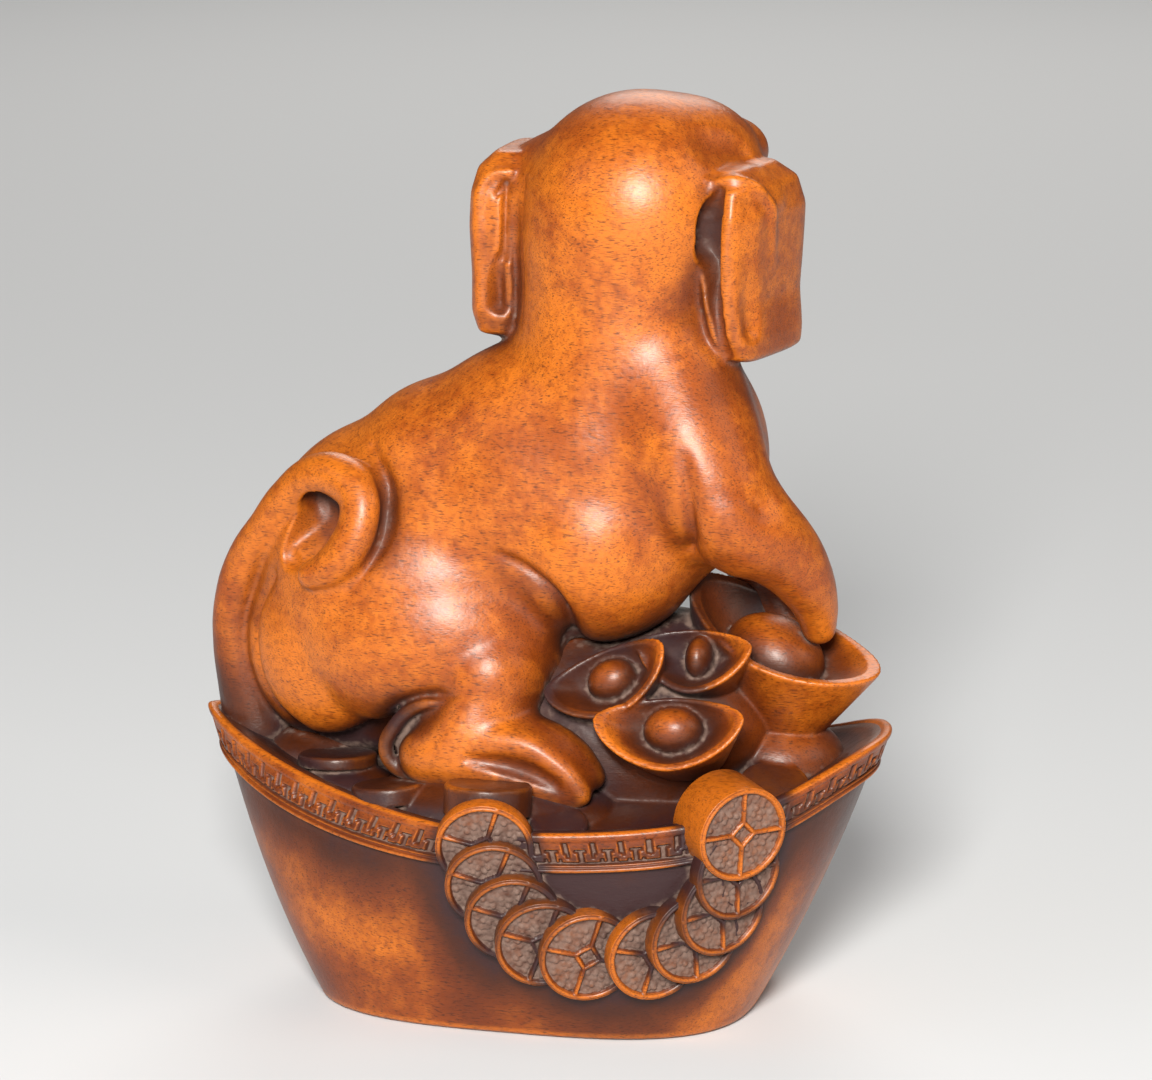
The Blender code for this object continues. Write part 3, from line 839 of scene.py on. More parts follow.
@dataclass
class Swag:
    """A string of coins hung in an arc on the near wall, each lying over the one before.

    The square hole and the spokes of each coin are drawn in relief, and nothing goes through it.
    """

    bowl: Bowl
    coins: int = 10
    diameter: float = 10.2
    thickness: float = 1.9
    drum: float = 6.0
    width: float = 25.2
    drop: float = 12.6
    centre: float = 12.1
    lean: float = 15.0
    arc: tuple[float, float] = (184, 364)
    stand: float = 1.55
    rim: float = 0.72
    line: float = 0.42
    diamond: float = 1.36
    ground: float = 0.6
    pebble: float = 0.66
    spoke_turns: tuple[float, ...] = (17, 20, 20, 18, 15, 13, -8, -6, -3, 0)

    def face(
        self, across: np.ndarray, up: np.ndarray, pebbles: np.ndarray
    ) -> tuple[np.ndarray, np.ndarray]:
        """Measures the coin's face.

        Args:
            across: how far each point is to the right of the middle.
            up: how far it is above the middle.
            pebbles: the place and height of each pebble on the ground.

        Returns:
            The height of each point, 0 on top of the rim, and whether it is on the ground, from 0 to 1.
        """
        radius = self.diameter / 2
        out = np.hypot(across, up)
        rim = 1 - np.clip(np.abs(out - (radius - 0.5 * self.rim)) / (0.5 * self.rim), 0, 1) ** 3
        frame = np.abs(np.abs(across) + np.abs(up) - self.diamond) / math.sqrt(2)
        beyond = np.abs(across) + np.abs(up) > self.diamond
        spoke = np.where(beyond, np.minimum(np.abs(across), np.abs(up)), radius)
        line = np.minimum(frame, spoke)
        bars = 0.9 * np.clip(1 - (line / (0.5 * self.line + 0.06)) ** 4, 0, 1)
        raised = np.maximum(rim, bars)
        gaps = np.hypot(across[:, None] - pebbles[None, :, 0], up[:, None] - pebbles[None, :, 1])
        domes = np.sqrt(np.clip(1 - (gaps / (0.52 * self.pebble)) ** 2, 0, 1)) * pebbles[None, :, 2]
        height = self.ground * (np.maximum(raised, 0.5 * domes.max(1)) - 1)
        return height, np.clip(1.25 - 2.2 * raised, 0, 1)

    def pebbles(self, seed: int) -> np.ndarray:
        """Scatters pebbles over a coin's ground.

        Args:
            seed: which coin it is.

        Returns:
            x, y and height for each pebble.
        """
        chance = np.random.default_rng(seed)
        steps = np.arange(-9, 10) * self.pebble
        x, y = np.meshgrid(steps, steps)
        x = x + (np.arange(len(steps)) % 2)[:, None] * 0.5 * self.pebble
        spots = np.stack([x.ravel(), y.ravel()], 1)
        spots = spots + chance.normal(0, 0.13, spots.shape)
        return np.column_stack([spots, chance.uniform(0.15, 1.0, len(spots))])

    def coin(self, blank: Blank, place: Matrix, seed: int, thickness: float) -> list[float]:
        """Adds one coin.

        Args:
            blank: what it is added to.
            place: where the middle of its face goes, its face along +Z.
            seed: which coin it is.
            thickness: its thickness.

        Returns:
            How sunk each of its points is.
        """
        radius = self.diameter / 2
        segments, steps = ((208, 41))
        turns = np.array(around(segments))
        side = [
            (0.02, -thickness), (radius - 0.1, -thickness), (radius, 0.15 - thickness), (radius, -0.7),
            (radius, -0.3), (radius - 0.03, -0.14),
        ]
        rings = [[(out * math.cos(a), out * math.sin(a), up) for a in turns] for out, up in side]
        sunk = [0.0] * len(side) * segments
        pebbles = self.pebbles(seed)
        for out in np.linspace(radius - 0.1, 0.02, steps):
            across = out * np.cos(turns)
            up = out * np.sin(turns)
            heights, ground = self.face(across, up, pebbles)
            rings.append(list(zip(across, up, heights)))
            sunk += ground.tolist()
        blank.loft(rings, place)
        return sunk

    def build(self, wall: BVHTree) -> bpy.types.Mesh:
        """Builds the coins on the wall. The last is the end of a drum that leans out of the heap.

        Args:
            wall: the bowl, as something that rays can hit.

        Returns:
            The ten coins.
        """
        blank = Blank()
        sunk = []
        lean = math.radians(self.lean)
        for index in range(self.coins):
            angle = math.radians(lerp(*self.arc, index / (self.coins - 1)))
            run = math.cos(angle)
            x = self.centre + self.width / 2 * math.copysign(abs(run) ** 0.75, run)
            z = self.bowl.height - 0.6 + self.drop * math.sin(angle)
            last = index == self.coins - 1
            place, out = wall.ray_cast((x, -self.bowl.width, z), (0, 1, 0))[:2]
            along = Vector((1, 0, 0.8 * min(0, math.cos(angle)) - 0.35 * last))
            along = (along - out * along.dot(out)).normalized()
            axis = out * math.cos(lean) + along * math.sin(lean)
            facing = axis.to_track_quat("Z", "Y").to_matrix().to_4x4()
            turn = Matrix.Rotation(math.radians(-self.spoke_turns[index]), 4, "Z")
            middle = place + out * (self.stand + 0.7 * last)
            thickness = self.drum if last else self.thickness
            sunk += self.coin(blank, Matrix.Translation(middle) @ facing @ turn, index, thickness)
        mesh = blank.mesh()
        mark_sunk(mesh, sunk)
        return mesh


@dataclass
class Puppy:
    """The puppy, drawn from its seat up and put on the bowl's rim."""

    bowl: Bowl
    above_rim: float = 0.2

    def torso(self) -> bpy.types.Mesh:
        """Builds the rump, barrel, chest, shoulder, neck and skull, which run into each other softly.

        Returns:
            The trunk as one rubbed-down skin.
        """
        blank = Blank()
        blank.ball((-16.0, 1.5, 21.6), (15.8, 12.8, 16.4))
        blank.ball((-20.8, 1.0, 13.5), (12.6, 11.5, 13.2))
        blank.ball((0.5, 1.2, 31.7), (20.2, 13.2, 15.9), (0, -28, 0))
        blank.ball((11.8, 1.2, 35.0), (12.2, 12.2, 14.2))
        blank.ball((-9.5, 1.3, 29.0), (13.4, 12.4, 13.8))
        blank.cord(
            (6.5, 1.3, 36.0, 13.0), (8.2, 1.6, 45.0, 11.7), (8.6, 2.0, 51.5, 11.5), (8.9, 2.3, 58.0, 12.0),
        )
        blank.ball((6.4, -1.2, 27.0), (11.6, 12.0, 11.8))
        blank.ball((10.0, 2.5, 61.6), (12.7, 12.7, 12.3))
        blank.ball((13.4, 4.5, 65.4), (9.2, 8.9, 7.9))
        blank.ball((0.8, 5.0, 64.0), (7.6, 6.6, 5.0), (0, -16, 0))
        blank.ball((-13.0, -3.2, 19.0), (15.4, 10.4, 13.2), (0, 5, 0))
        blank.ball((-13.0, 6.0, 19.0), (15.0, 10.4, 13.0), (0, 5, 0))
        blank.cord(
            (13.5, -2.0, 44.0, 8.2), (17.2, -5.2, 37.5, 7.9), (20.4, -6.9, 32.8, 6.8),
            (23.6, -6.5, 29.6, 5.6),
        )
        return blank.grown(Cut.ROUGH, 90)

    def forelegs(self, blank: Blank) -> None:
        """The near foreleg reaches over the big ingot, and the far one goes down behind it."""
        blank.cord(
            (17.8, -5.6, 36.5, 6.2), (21.3, -7.3, 32.0, 6.2), (24.1, -6.6, 29.6, 5.2),
            (26.8, -4.6, 26.8, 4.2),
            (28.7, -2.6, 23.4, 3.3), (29.6, -0.9, 20.2, 2.5), (29.8, 0.0, 17.8, 2.0),
        )
        blank.cord(
            (12.0, 7.0, 42.0, 6.5), (15.5, 10.0, 31.0, 6.0), (19.5, 11.0, 25.0, 4.6),
            (23.0, 9.5, 19.0, 3.4),
            (25.5, 7.5, 15.5, 2.7),
        )

    def hind_leg(self, blank: Blank, side: Side, knee_y: float, foot_y: float) -> None:
        """Adds a folded hind leg: shank back to the hock, then the long foot with two toes forward.

        Args:
            blank: what it is added to.
            side: the near or the far side.
            knee_y: where the knee is across the puppy.
            foot_y: where the foot is across the puppy.
        """
        way = side.value
        blank.cord(
            (-4.0, knee_y, 12.5, 6.5), (-4.8, knee_y + 2.8 * way, 8.5, 4.6), (-7.0, foot_y, 5.8, 3.8),
            (-9.4, foot_y, 4.6, 3.5),
        )
        # the ridge that runs out to the outer toe
        blank.cord(
            (-5.0, foot_y + 0.6 * way, 6.3, 2.9), (-2.8, foot_y + 1.0 * way, 6.6, 2.6),
            (1.5, foot_y + 1.6 * way, 6.6, 2.0), (3.9, foot_y + 1.9 * way, 5.5, 1.7),
            (6.6, foot_y + 2.2 * way, 3.5, 1.4), (7.8, foot_y + 2.2 * way, 1.9, 1.2),
        )
        # the sole below it
        blank.cord(
            (-9.4, foot_y, 4.6, 3.5), (-2.4, foot_y + 1.2 * way, 4.0, 2.8),
            (1.0, foot_y + 1.6 * way, 3.2, 2.1),
            (4.3, foot_y + 2.0 * way, 2.0, 1.6), (7.0, foot_y + 2.0 * way, 1.2, 1.1),
        )
        # the inner toe
        blank.cord(
            (-3.0, foot_y - 1.4 * way, 7.2, 3.0), (0.5, foot_y - 1.0 * way, 6.8, 2.9),
            (3.8, foot_y - 0.8 * way, 6.1, 2.6),
            (6.2, foot_y - 0.7 * way, 4.9, 2.2), (8.0, foot_y - 0.5 * way, 3.2, 1.7),
        )

    def hock_roll(self, blank: Blank, side: Side, foot_y: float) -> None:
        """The thin roll that is left standing round the back of a hock."""
        y = foot_y + 0.2 * side.value
        blank.ball((-8.9, y - 1.6 * side.value, 6.0), (5.0, 1.5, 4.6))
        blank.cord(
            (-7.2, y + 0.6 * side.value, 10.6, 0.55), (-10.6, y + 0.4 * side.value, 9.9, 0.75),
            (-13.2, y, 7.4, 0.85), (-14.2, y, 5.0, 0.85), (-13.4, y, 3.2, 0.85), (-11.2, y, 2.2, 0.8),
            (-7.9, y + 0.4 * side.value, 1.8, 0.7),
        )

    def tail(self, blank: Blank) -> None:
        """A thick tail that climbs the rump and curls over on its near side."""
        blank.cord(
            (-32.4, 0.3, 3.0, 3.8), (-33.6, -0.4, 8.5, 3.1), (-34.3, -1.0, 13.0, 2.6),
            (-34.0, -1.5, 17.5, 2.4),
            (-32.4, -2.4, 22.0, 2.3), (-29.5, -4.0, 26.2, 2.2), (-26.6, -5.2, 29.9, 2.3),
            (-22.9, -6.8, 32.7, 2.5),
            (-19.6, -8.4, 32.9, 2.5), (-17.4, -9.8, 31.4, 2.5), (-17.1, -10.8, 28.9, 2.5),
            (-18.3, -11.4, 26.0, 2.5), (-20.4, -11.5, 24.0, 2.2), (-22.4, -11.4, 23.1, 1.6),
        )

    def flap(self, blank: Blank, stations: Sequence[tuple[float, ...]], power: float) -> None:
        """Adds a hanging slab with rounded corners.

        Args:
            blank: what it is added to.
            stations: x, y, z, half thickness, half depth and turn in degrees, from the bottom up.
            power: 2 is oval, and more squares the corners.
        """
        rings = []
        for x, y, z, thick, deep, turn in stations:
            c, s = math.cos(math.radians(turn)), math.sin(math.radians(turn))
            ring = []
            for angle in around(72):
                t = thick * math.copysign(abs(math.cos(angle)) ** (2 / power), math.cos(angle))
                d = deep * math.copysign(abs(math.sin(angle)) ** (2 / power), math.sin(angle))
                ring.append((x + c * t - s * d, y + s * t + c * d, z))
            rings.append(ring)
        blank.loft(rings)

    def right_ear(self, blank: Blank) -> None:
        """The ear on the side of the chest: a thick hanging flap."""
        self.flap(
            blank,
            [
                (23.1, 0.9, 46.6, 1.2, 4.5, -16), (22.9, 0.8, 47.2, 2.4, 6.6, -16),
                (22.6, 0.7, 49.0, 2.7, 7.2, -16),
                (22.1, 0.6, 53.0, 2.8, 7.6, -16), (22.1, 0.6, 58.0, 3.1, 7.9, -16),
                (22.2, 0.5, 62.0, 3.3, 7.8, -16),
                (21.8, 0.4, 65.0, 3.2, 6.8, -16), (21.0, 0.3, 66.8, 2.0, 4.8, -16),
            ],
            4.0,
        )
        blank.ball((20.5, 0.2, 63.6), (5.2, 6.4, 3.9), (0, 22, -12))

    def left_ear(self, blank: Blank) -> None:
        """The ear on the side of the tail."""
        self.flap(
            blank,
            [
                (-4.4, 6.0, 47.0, 1.2, 4.5, -3), (-5.0, 6.1, 47.7, 2.4, 6.8, -3),
                (-5.2, 6.2, 50.0, 2.85, 7.5, -3),
                (-5.1, 6.3, 54.0, 2.9, 7.7, -3), (-5.2, 6.3, 59.0, 3.1, 7.7, -3),
                (-5.1, 6.2, 62.6, 3.1, 7.3, -3),
                (-4.7, 6.0, 65.2, 2.8, 6.4, -3), (-3.9, 6.0, 66.9, 1.8, 4.8, -3),
            ],
            4.0,
        )
        blank.ball((-2.2, 5.8, 64.0), (5.0, 6.2, 3.3), (0, -22, 4))

    def face(self, blank: Blank) -> None:
        """The face looks away over the far wall, with heavy brows and a short broad muzzle."""
        blank.ball((11.3, 12.4, 57.2), (7.0, 7.0, 5.6))
        blank.ball((11.3, 12.0, 62.5), (3.4, 5.0, 4.0), (-30, 0, 0))
        blank.ball((7.6, 14.0, 56.6), (4.0, 4.2, 3.8))
        blank.ball((15.2, 13.8, 56.6), (4.0, 4.2, 3.8))
        blank.ball((18.2, 9.4, 67.1), (4.0, 3.7, 3.1), (0, 25, 40))
        blank.ball((5.0, 11.6, 66.8), (4.0, 3.1, 2.6), (0, -12, 10))

    def head(self, blank: Blank) -> None:
        """Adds the eyes, the nose and the ears."""
        blank.ball((16.0, 12.6, 62.8), (1.5, 1.5, 1.4))
        blank.ball((5.4, 13.3, 62.6), (1.5, 1.5, 1.4))
        blank.ball((11.5, 19.0, 59.4), (2.5, 1.5, 1.7))
        self.right_ear(blank)
        self.left_ear(blank)

    def build(self) -> bpy.types.Mesh:
        """Builds the puppy.

        Returns:
            The puppy on its seat, with its folds cut.
        """
        body = Blank()
        body.add(self.torso())
        self.face(body)
        self.forelegs(body)
        body.ball((-11.6, -4.6, 15.8), (15.0, 9.8, 11.6), (0, 5, 0))
        body.ball((-12.0, 7.8, 16.2), (14.6, 9.4, 11.4), (0, 5, 0))
        self.hind_leg(body, Side.NEAR, -8.0, -12.2)
        self.hind_leg(body, Side.FAR, 9.0, 12.6)
        whole = Blank()
        whole.add(body.grown(Cut.ROUGH, 10))
        self.tail(whole)
        self.head(whole)
        skin = Skin(whole.grown(Cut.FINE, 3))
        self.carve(skin)
        rolled = Blank()
        rolled.add(skin.mesh)
        self.hock_roll(rolled, Side.NEAR, -12.2)
        self.hock_roll(rolled, Side.FAR, 12.6)
        mesh = thinned(rolled.grown(Cut.FINE, 0.5), MOST_TRIANGLES)
        mesh.transform(Matrix.Translation((0, 0, self.bowl.height + self.above_rim)))
        return mesh

    def carve(self, skin: Skin) -> None:
        """Cuts the folds, pockets and channels of the near side and the face, and raises the rolls.

        Each mark is x, z, radius and depth, and a ray along the stated way finds it on the skin.

        Args:
            skin: the puppy's skin.
        """
        near, far = (0, -1, 0), (0, 1, 0)
        thigh_over_belly = (
            (-2.2, 26.6, 0.7, 0.4), (1.0, 24.8, 1.0, 1.3), (3.6, 22.2, 1.3, 2.0), (4.6, 19.0, 1.4, 2.2),
            (4.4, 16.0, 1.3, 1.8),
        )
        behind_elbow = (
            (18.0, 38.0, 0.8, 0.3), (18.5, 34.0, 1.1, 1.0), (18.4, 30.0, 1.3, 1.5), (17.9, 27.4, 1.3, 1.4),
        )
        over_foreleg = ((26.0, 33.2, 1.9, 0.9), (24.2, 34.2, 1.8, 0.4), (22.0, 34.4, 1.6, 0.1))
        round_curl = (
            (-17.2, 36.2, 0.6, 0.5), (-14.9, 33.4, 0.8, 0.9), (-14.3, 30.4, 0.9, 1.1),
            (-14.7, 27.2, 0.9, 0.9),
            (-16.2, 24.2, 0.7, 0.5), (-18.0, 21.8, 0.6, 0.2),
        )
        beside_tail = (
            (-28.4, 21.4, 0.8, 0.8), (-30.6, 17.6, 1.0, 1.1), (-31.0, 12.6, 1.1, 1.3),
            (-29.4, 7.6, 1.2, 1.4),
            (-26.4, 4.4, 1.3, 1.5),
        )
        under_rump = (
            (-25.4, 2.8, 1.8, 2.0), (-20.0, 2.9, 2.2, 2.6), (-15.0, 5.6, 2.0, 2.6), (-11.6, 9.6, 1.2, 1.6),
            (-8.6, 11.2, 0.9, 0.9), (-6.4, 11.6, 0.6, 0.3),
        )
        inside_curl = ((-22.3, 28.4, 3.1, 3.2), (-24.0, 26.4, 2.7, 2.6), (-25.6, 24.4, 1.8, 1.2))
        in_sole = ((-4.2, 5.4, 1.0, 0.3), (-0.9, 5.0, 1.3, 0.6), (2.5, 4.2, 1.3, 0.6), (5.0, 3.2, 1.0, 0.3))
        right_channel = (
            (20.0, 65.0, 0.7, 0.9), (19.3, 62.3, 1.2, 2.0), (19.1, 58.5, 1.3, 2.4), (19.3, 55.0, 1.1, 1.8),
            (20.0, 51.2, 0.8, 0.8), (20.9, 47.8, 0.7, 0.3),
        )
        right_face = (
            (23.0, 63.4, 2.0, 0.4), (22.9, 60.0, 2.2, 0.4), (23.1, 55.3, 2.2, 0.4), (23.4, 50.6, 1.9, 0.8),
        )
        left_hook = (
            (-4.9, 62.6, 0.5, 0.5), (-3.9, 63.9, 0.6, 1.0), (-3.9, 62.0, 0.6, 0.9), (-3.9, 59.0, 0.6, 0.7),
            (-4.0, 56.0, 0.8, 0.6),
        )
        left_hollow = ((-4.5, 56.0, 1.0, 0.4), (-4.7, 53.6, 1.5, 1.0), (-4.6, 51.0, 1.6, 1.4))
        left_channel = ((-1.9, 64.2, 0.5, 0.5), (-1.8, 57.0, 0.5, 0.6), (-1.8, 50.0, 0.5, 0.5))
        brow_hollow = ((18.4, 69.0, 3.4, 0.6), (21.2, 67.6, 2.4, 0.6))
        cuts = (
            (Edge.FOLD, near, thigh_over_belly), (Edge.FOLD, near, behind_elbow),
            (Edge.FOLD, near, over_foreleg), (Edge.FOLD, near, round_curl), (Edge.FOLD, near, beside_tail),
            (Edge.FOLD, near, under_rump), (Edge.POCKET, near, inside_curl), (Edge.ROUND, near, in_sole),
            (Edge.POCKET, near, right_channel), (Edge.ROUND, near, right_face),
            (Edge.ROUND, near, left_hook),
            (Edge.ROUND, near, left_hollow), (Edge.FOLD, near, left_channel),
            (Edge.ROUND, near, brow_hollow),
        )
        right_lip = (
            (18.6, 65.8, 0.8, -0.3), (21.4, 66.0, 1.0, -0.6), (23.6, 65.0, 1.0, -0.7),
            (24.8, 62.8, 1.0, -0.6),
            (24.8, 59.8, 1.1, -0.3), (24.8, 57.0, 1.2, -0.1),
        )
        right_rim = (
            (21.3, 64.6, 0.6, -0.1), (21.4, 62.6, 0.7, -0.15), (20.9, 58.0, 0.7, -0.15),
            (21.2, 50.0, 0.7, -0.1),
        )
        left_rim = ((-2.8, 63.6, 0.6, -0.2), (-2.7, 58.0, 0.7, -0.35), (-2.6, 49.4, 0.7, -0.3))
        left_lip = (
            (-3.4, 65.0, 0.8, -0.3), (-5.6, 64.6, 0.9, -0.45), (-6.9, 62.4, 1.0, -0.4),
            (-7.0, 57.0, 1.0, -0.2),
            (-6.8, 50.6, 0.8, -0.2),
        )
        rolls = tuple((Edge.ROUND, near, marks) for marks in (right_lip, right_rim, left_rim, left_lip))
        right_eye = (
            (13.6, 62.6, 0.5, 0.3), (15.2, 64.6, 0.5, 0.4), (17.6, 64.3, 0.5, 0.4), (18.9, 62.6, 0.5, 0.3),
        )
        left_eye = (
            (8.0, 62.5, 0.5, 0.3), (6.3, 64.5, 0.5, 0.4), (3.9, 64.1, 0.5, 0.4), (2.7, 62.4, 0.5, 0.3),
        )
        eyes = tuple((Edge.FOLD, far, marks) for marks in (right_eye, left_eye))
        mouth_line = (
            (6.0, 54.2, 0.9, 0.6), (9.0, 55.4, 1.1, 0.9), (11.8, 56.6, 1.1, 0.9), (14.6, 55.4, 1.1, 0.9),
            (17.4, 54.2, 0.9, 0.6),
        )
        mouth = ((Edge.FOLD, far, mouth_line),)
        for group in (cuts, rolls, eyes, mouth):
            tree = skin.tree()
            for edge, out, marks in group:
                found = []
                for x, z, radius, depth in marks:
                    spot = tree.ray_cast((x, 40 * out[1], z), (0, -out[1], 0))[0]
                    if spot:
                        found.append((*spot, radius, depth))
                Gouge(tuple(found), out, edge).cut(skin)


def shelter(skin: Skin, everything: BVHTree, reach: float, rays: int) -> np.ndarray:
    """Measures how shut in each point is.

    Args:
        skin: the points.
        everything: all the pieces, as something that rays can hit.
        reach: how far the rays look, in millimetres.
        rays: how many rays leave each point.

    Returns:
        0 in the open and 1 where every ray is stopped close by.
    """
    chance = np.random.default_rng(7)
    count = len(skin.points)
    spins = chance.uniform(0, 2 * math.pi, count)
    helper = np.where(np.abs(skin.normals[:, 2:]) < 0.9, [[0.0, 0.0, 1.0]], [[1.0, 0.0, 0.0]])
    side = np.cross(skin.normals, helper)
    side /= np.linalg.norm(side, axis=1, keepdims=True)
    other = np.cross(skin.normals, side)
    starts = (skin.points + 0.08 * skin.normals).tolist()
    total = np.zeros(count)
    for ray in range(rays):
        lift = math.sqrt((ray + 0.5) / rays)
        lean = math.sqrt(1 - lift ** 2)
        spin = spins + ray * GOLDEN_ANGLE
        ways = lift * skin.normals + lean * (np.cos(spin)[:, None] * side + np.sin(spin)[:, None] * other)
        cast = everything.ray_cast
        hits = [cast(start, way, reach)[3] for start, way in zip(starts, ways.tolist())]
        far = np.array([reach if hit is None else hit for hit in hits])
        total += 1 - far / reach
    return skin.spread(total / rays, 4)


def mark_skin(skin: Skin, everything: BVHTree, darkening: float) -> None:
    """Writes what the materials read onto the mesh.

    Args:
        skin: the finished piece, in millimetres.
        everything: all the pieces, as something that rays can hit.
        darkening: how much more painted shade the piece has all over than the puppy.
    """
    closed = shelter(skin, everything, SHELTER_REACH, 8)
    small = skin.spread(skin.sunk(4), 1) / FINE_HOLLOW
    wide = skin.spread(skin.sunk(24), 2) / BROAD_HOLLOW
    crease = np.clip(small, 0, 1) * 0.5 + np.clip(wide, 0, 1) * 0.5
    ridge = np.clip(-small, 0, 1) * 0.6 + np.clip(-wide, 0, 1) * 0.4
    # This mark is painted shade, spread wide from sheltered places and creases. A skin with finer faces
    # needs more rounds to spread it as far.
    rounds = 280
    painted_shade = np.clip(darkening + 2.4 * skin.spread(np.clip(closed - 0.2, 0, 1) + 0.4 * crease, rounds), 0, 1)
    marks = ((Mark.SHELTER, closed), (Mark.CREASE, crease), (Mark.HALO, painted_shade), (Mark.RIDGE, ridge))
    for mark, values in marks:
        layer = skin.mesh.attributes.new(mark.value, "FLOAT", "POINT")
        layer.data.foreach_set("value", values.astype(np.float32))


class Finish:
    """A material's node tree, built a node at a time."""

    def __init__(self, name: str) -> None:
        """Starts a material with only its output.

        Args:
            name: the material's name.
        """
        self.material = bpy.data.materials.new(name)
        self.material.use_nodes = True
        self.tree = self.material.node_tree
        self.tree.nodes.clear()

    def node(self, kind: str, settings: dict | None = None, **links: object) -> bpy.types.Node:
        """Adds a node.

        Args:
            kind: the node's type.
            settings: its own properties.
            links: a value or another node's output for each input, an index after in_ or a name.

        Returns:
            The node.
        """
        made = self.tree.nodes.new(kind)
        for key, value in (settings or {}).items():
            setattr(made, key, value)
        for key, value in links.items():
            slot = int(key[3:]) if key.startswith("in_") else key.replace("_", " ")
            socket = made.inputs[slot]
            if isinstance(value, bpy.types.NodeSocket):
                self.tree.links.new(value, socket)
            else:
                socket.default_value = value
        return made


@dataclass(frozen=True)
class StainedBoxwood:
    """Boxwood, cut with gouges, stained, rubbed with wax and handled for years.

    The close grain takes a satin polish, so broad lights roll over it softly. Shade is painted into the
    colour: near black in the hollows, together with dirt, and russet, umber and purple-brown in wide bands
    round them. Grey dust sits at the hollows' bottoms, and handling bares the honey colour on every edge.
    """

    honey: str = "#BC6414"
    amber: str = "#92430A"
    russet: str = "#5E2606"
    umber: str = "#361607"
    fleck: str = "#200C05"
    grime_and_shade: str = "#120807"
    shade_plum: str = "#2A181C"
    dust: str = "#79645A"
    ior: float = 1.5
    polish: float = 0.40
    dull: float = 0.85
    cloud_mm: float = 15.0
    mottle_mm: float = 1.5
    # Boxwood pores are about 0.05 mm wide, too fine to show, so they are drawn 0.14 mm wide.
    pore_mm: float = 0.14
    pore_length_mm: float = 0.8
    tool_mm: float = 0.8
    relief: float = 0.6
    relief_mm: float = 0.06
    specular: float = 0.4
    # The rubbed wax is a thin soft coat.
    wax: float = 0.06
    wax_roughness: float = 0.25

    def build(self) -> bpy.types.Material:
        """Builds the material.

        Returns:
            The material.
        """
        finish = Finish("stained_boxwood")
        add = finish.node
        place = add("ShaderNodeTexCoord").outputs["Object"]
        mm = add("ShaderNodeVectorMath", {"operation": "SCALE"}, in_0=place, Scale=1 / MM).outputs[0]
        along = add(
            "ShaderNodeVectorMath", {"operation": "MULTIPLY"}, in_0=mm,
            in_1=(1 / self.pore_length_mm, 1 / self.pore_mm, 1 / self.pore_mm),
        ).outputs[0]
        # Where each pattern is read, its scale, its detail and its roughness.
        patterns = {
            "cloud": (mm, 1 / self.cloud_mm, 4.0, 0.6),
            "mottle": (mm, 1 / self.mottle_mm, 5.0, 0.65),
            "pores": (along, 1.0, 2.0, 0.55),
            "tool": (mm, 1 / self.tool_mm, 2.0, 0.5),
        }
        values: dict[str, bpy.types.NodeSocket] = {}
        for name, (where, scale, detail, rough) in patterns.items():
            noise = add("ShaderNodeTexNoise", Vector=where, Scale=scale, Detail=detail, Roughness=rough)
            values[name] = noise.outputs["Fac"]
        for mark in Mark:
            values[mark.value] = add("ShaderNodeAttribute", {"attribute_name": mark.value}).outputs["Fac"]
        # Each sum takes a share of some values, and starts from a number.
        sums = {
            "ragged": ({"mottle": 0.35}, -0.175),
            # hollow is where shade is painted near black, together with dirt
            "hollow": ({"shelter": 1.0, "ragged": 1.0, "crease": 0.3}, 0.0),
            # ring is painted shade in wide bands round sheltered places and creases, broken up by the cloud
            "ring": ({"painted_shade": 1.0, "cloud": -0.6}, 0.3),
            "ragged_shade": ({"ring": 1.0, "ragged": 1.0}, 0.0),
            "broad": ({"cloud": 0.7, "mottle": 0.3}, 0.0),
            "speck": ({"tool": 0.5}, -0.25),
            "specked_ground": ({"sunk": 1.0, "speck": 1.0}, 0.0),
            "specked_hollow": ({"hollow": 1.0, "speck": 1.0}, 0.0),
            "grain": ({"tool": 1.0, "pores": -0.5}, 0.0),
            "uneven": ({"mottle": 0.15}, -0.075),
        }
        weighed = {"operation": "MULTIPLY_ADD"}
        for name, (parts, total) in sums.items():
            for part, share in parts.items():
                mixed = add("ShaderNodeMath", weighed, in_0=values[part], in_1=share, in_2=total)
                total = mixed.outputs[0]
            values[name] = total
        # Each colour covers those before it as a value climbs from low to high, and at most by a share.
        layers = (
            ("broad", 0.42, 0.62, 1.0, self.honey),
            # painted shade: russet darkens the wide bands round sheltered places
            ("ring", 0.02, 0.3, 0.9, self.russet),
            ("ridge", 0.2, 0.8, 0.8, self.honey),
            ("pores", 0.5, 0.72, 0.7, self.fleck),
            ("tool", 0.5, 0.72, 0.35, self.russet),
            # deeper painted shade in the same bands, in umber and then purple-brown
            ("ring", 0.2, 0.52, 0.85, self.umber),
            ("ragged_shade", 0.42, 0.8, 0.85, self.shade_plum),
            ("sunk", 0.2, 0.8, 0.7, self.umber),
            ("specked_ground", 0.75, 1.15, 0.8, self.dust),
            # painted shade in the sheltered hollows, near black, together with dirt
            ("hollow", 0.5, 0.85, 0.7, self.grime_and_shade),
            ("specked_hollow", 0.5, 0.85, 0.75, self.dust),
        )
        soft_step = {"interpolation_type": "SMOOTHSTEP"}
        colour = linear(self.amber)
        for name, low, high, most, over in layers:
            share = add("ShaderNodeMapRange", soft_step, Value=values[name], in_1=low, in_2=high, in_4=most)
            laid = add("ShaderNodeMix", {"data_type": "RGBA"}, in_0=share.outputs[0], in_6=colour)
            laid.inputs[7].default_value = linear(over)
            colour = laid.outputs[2]
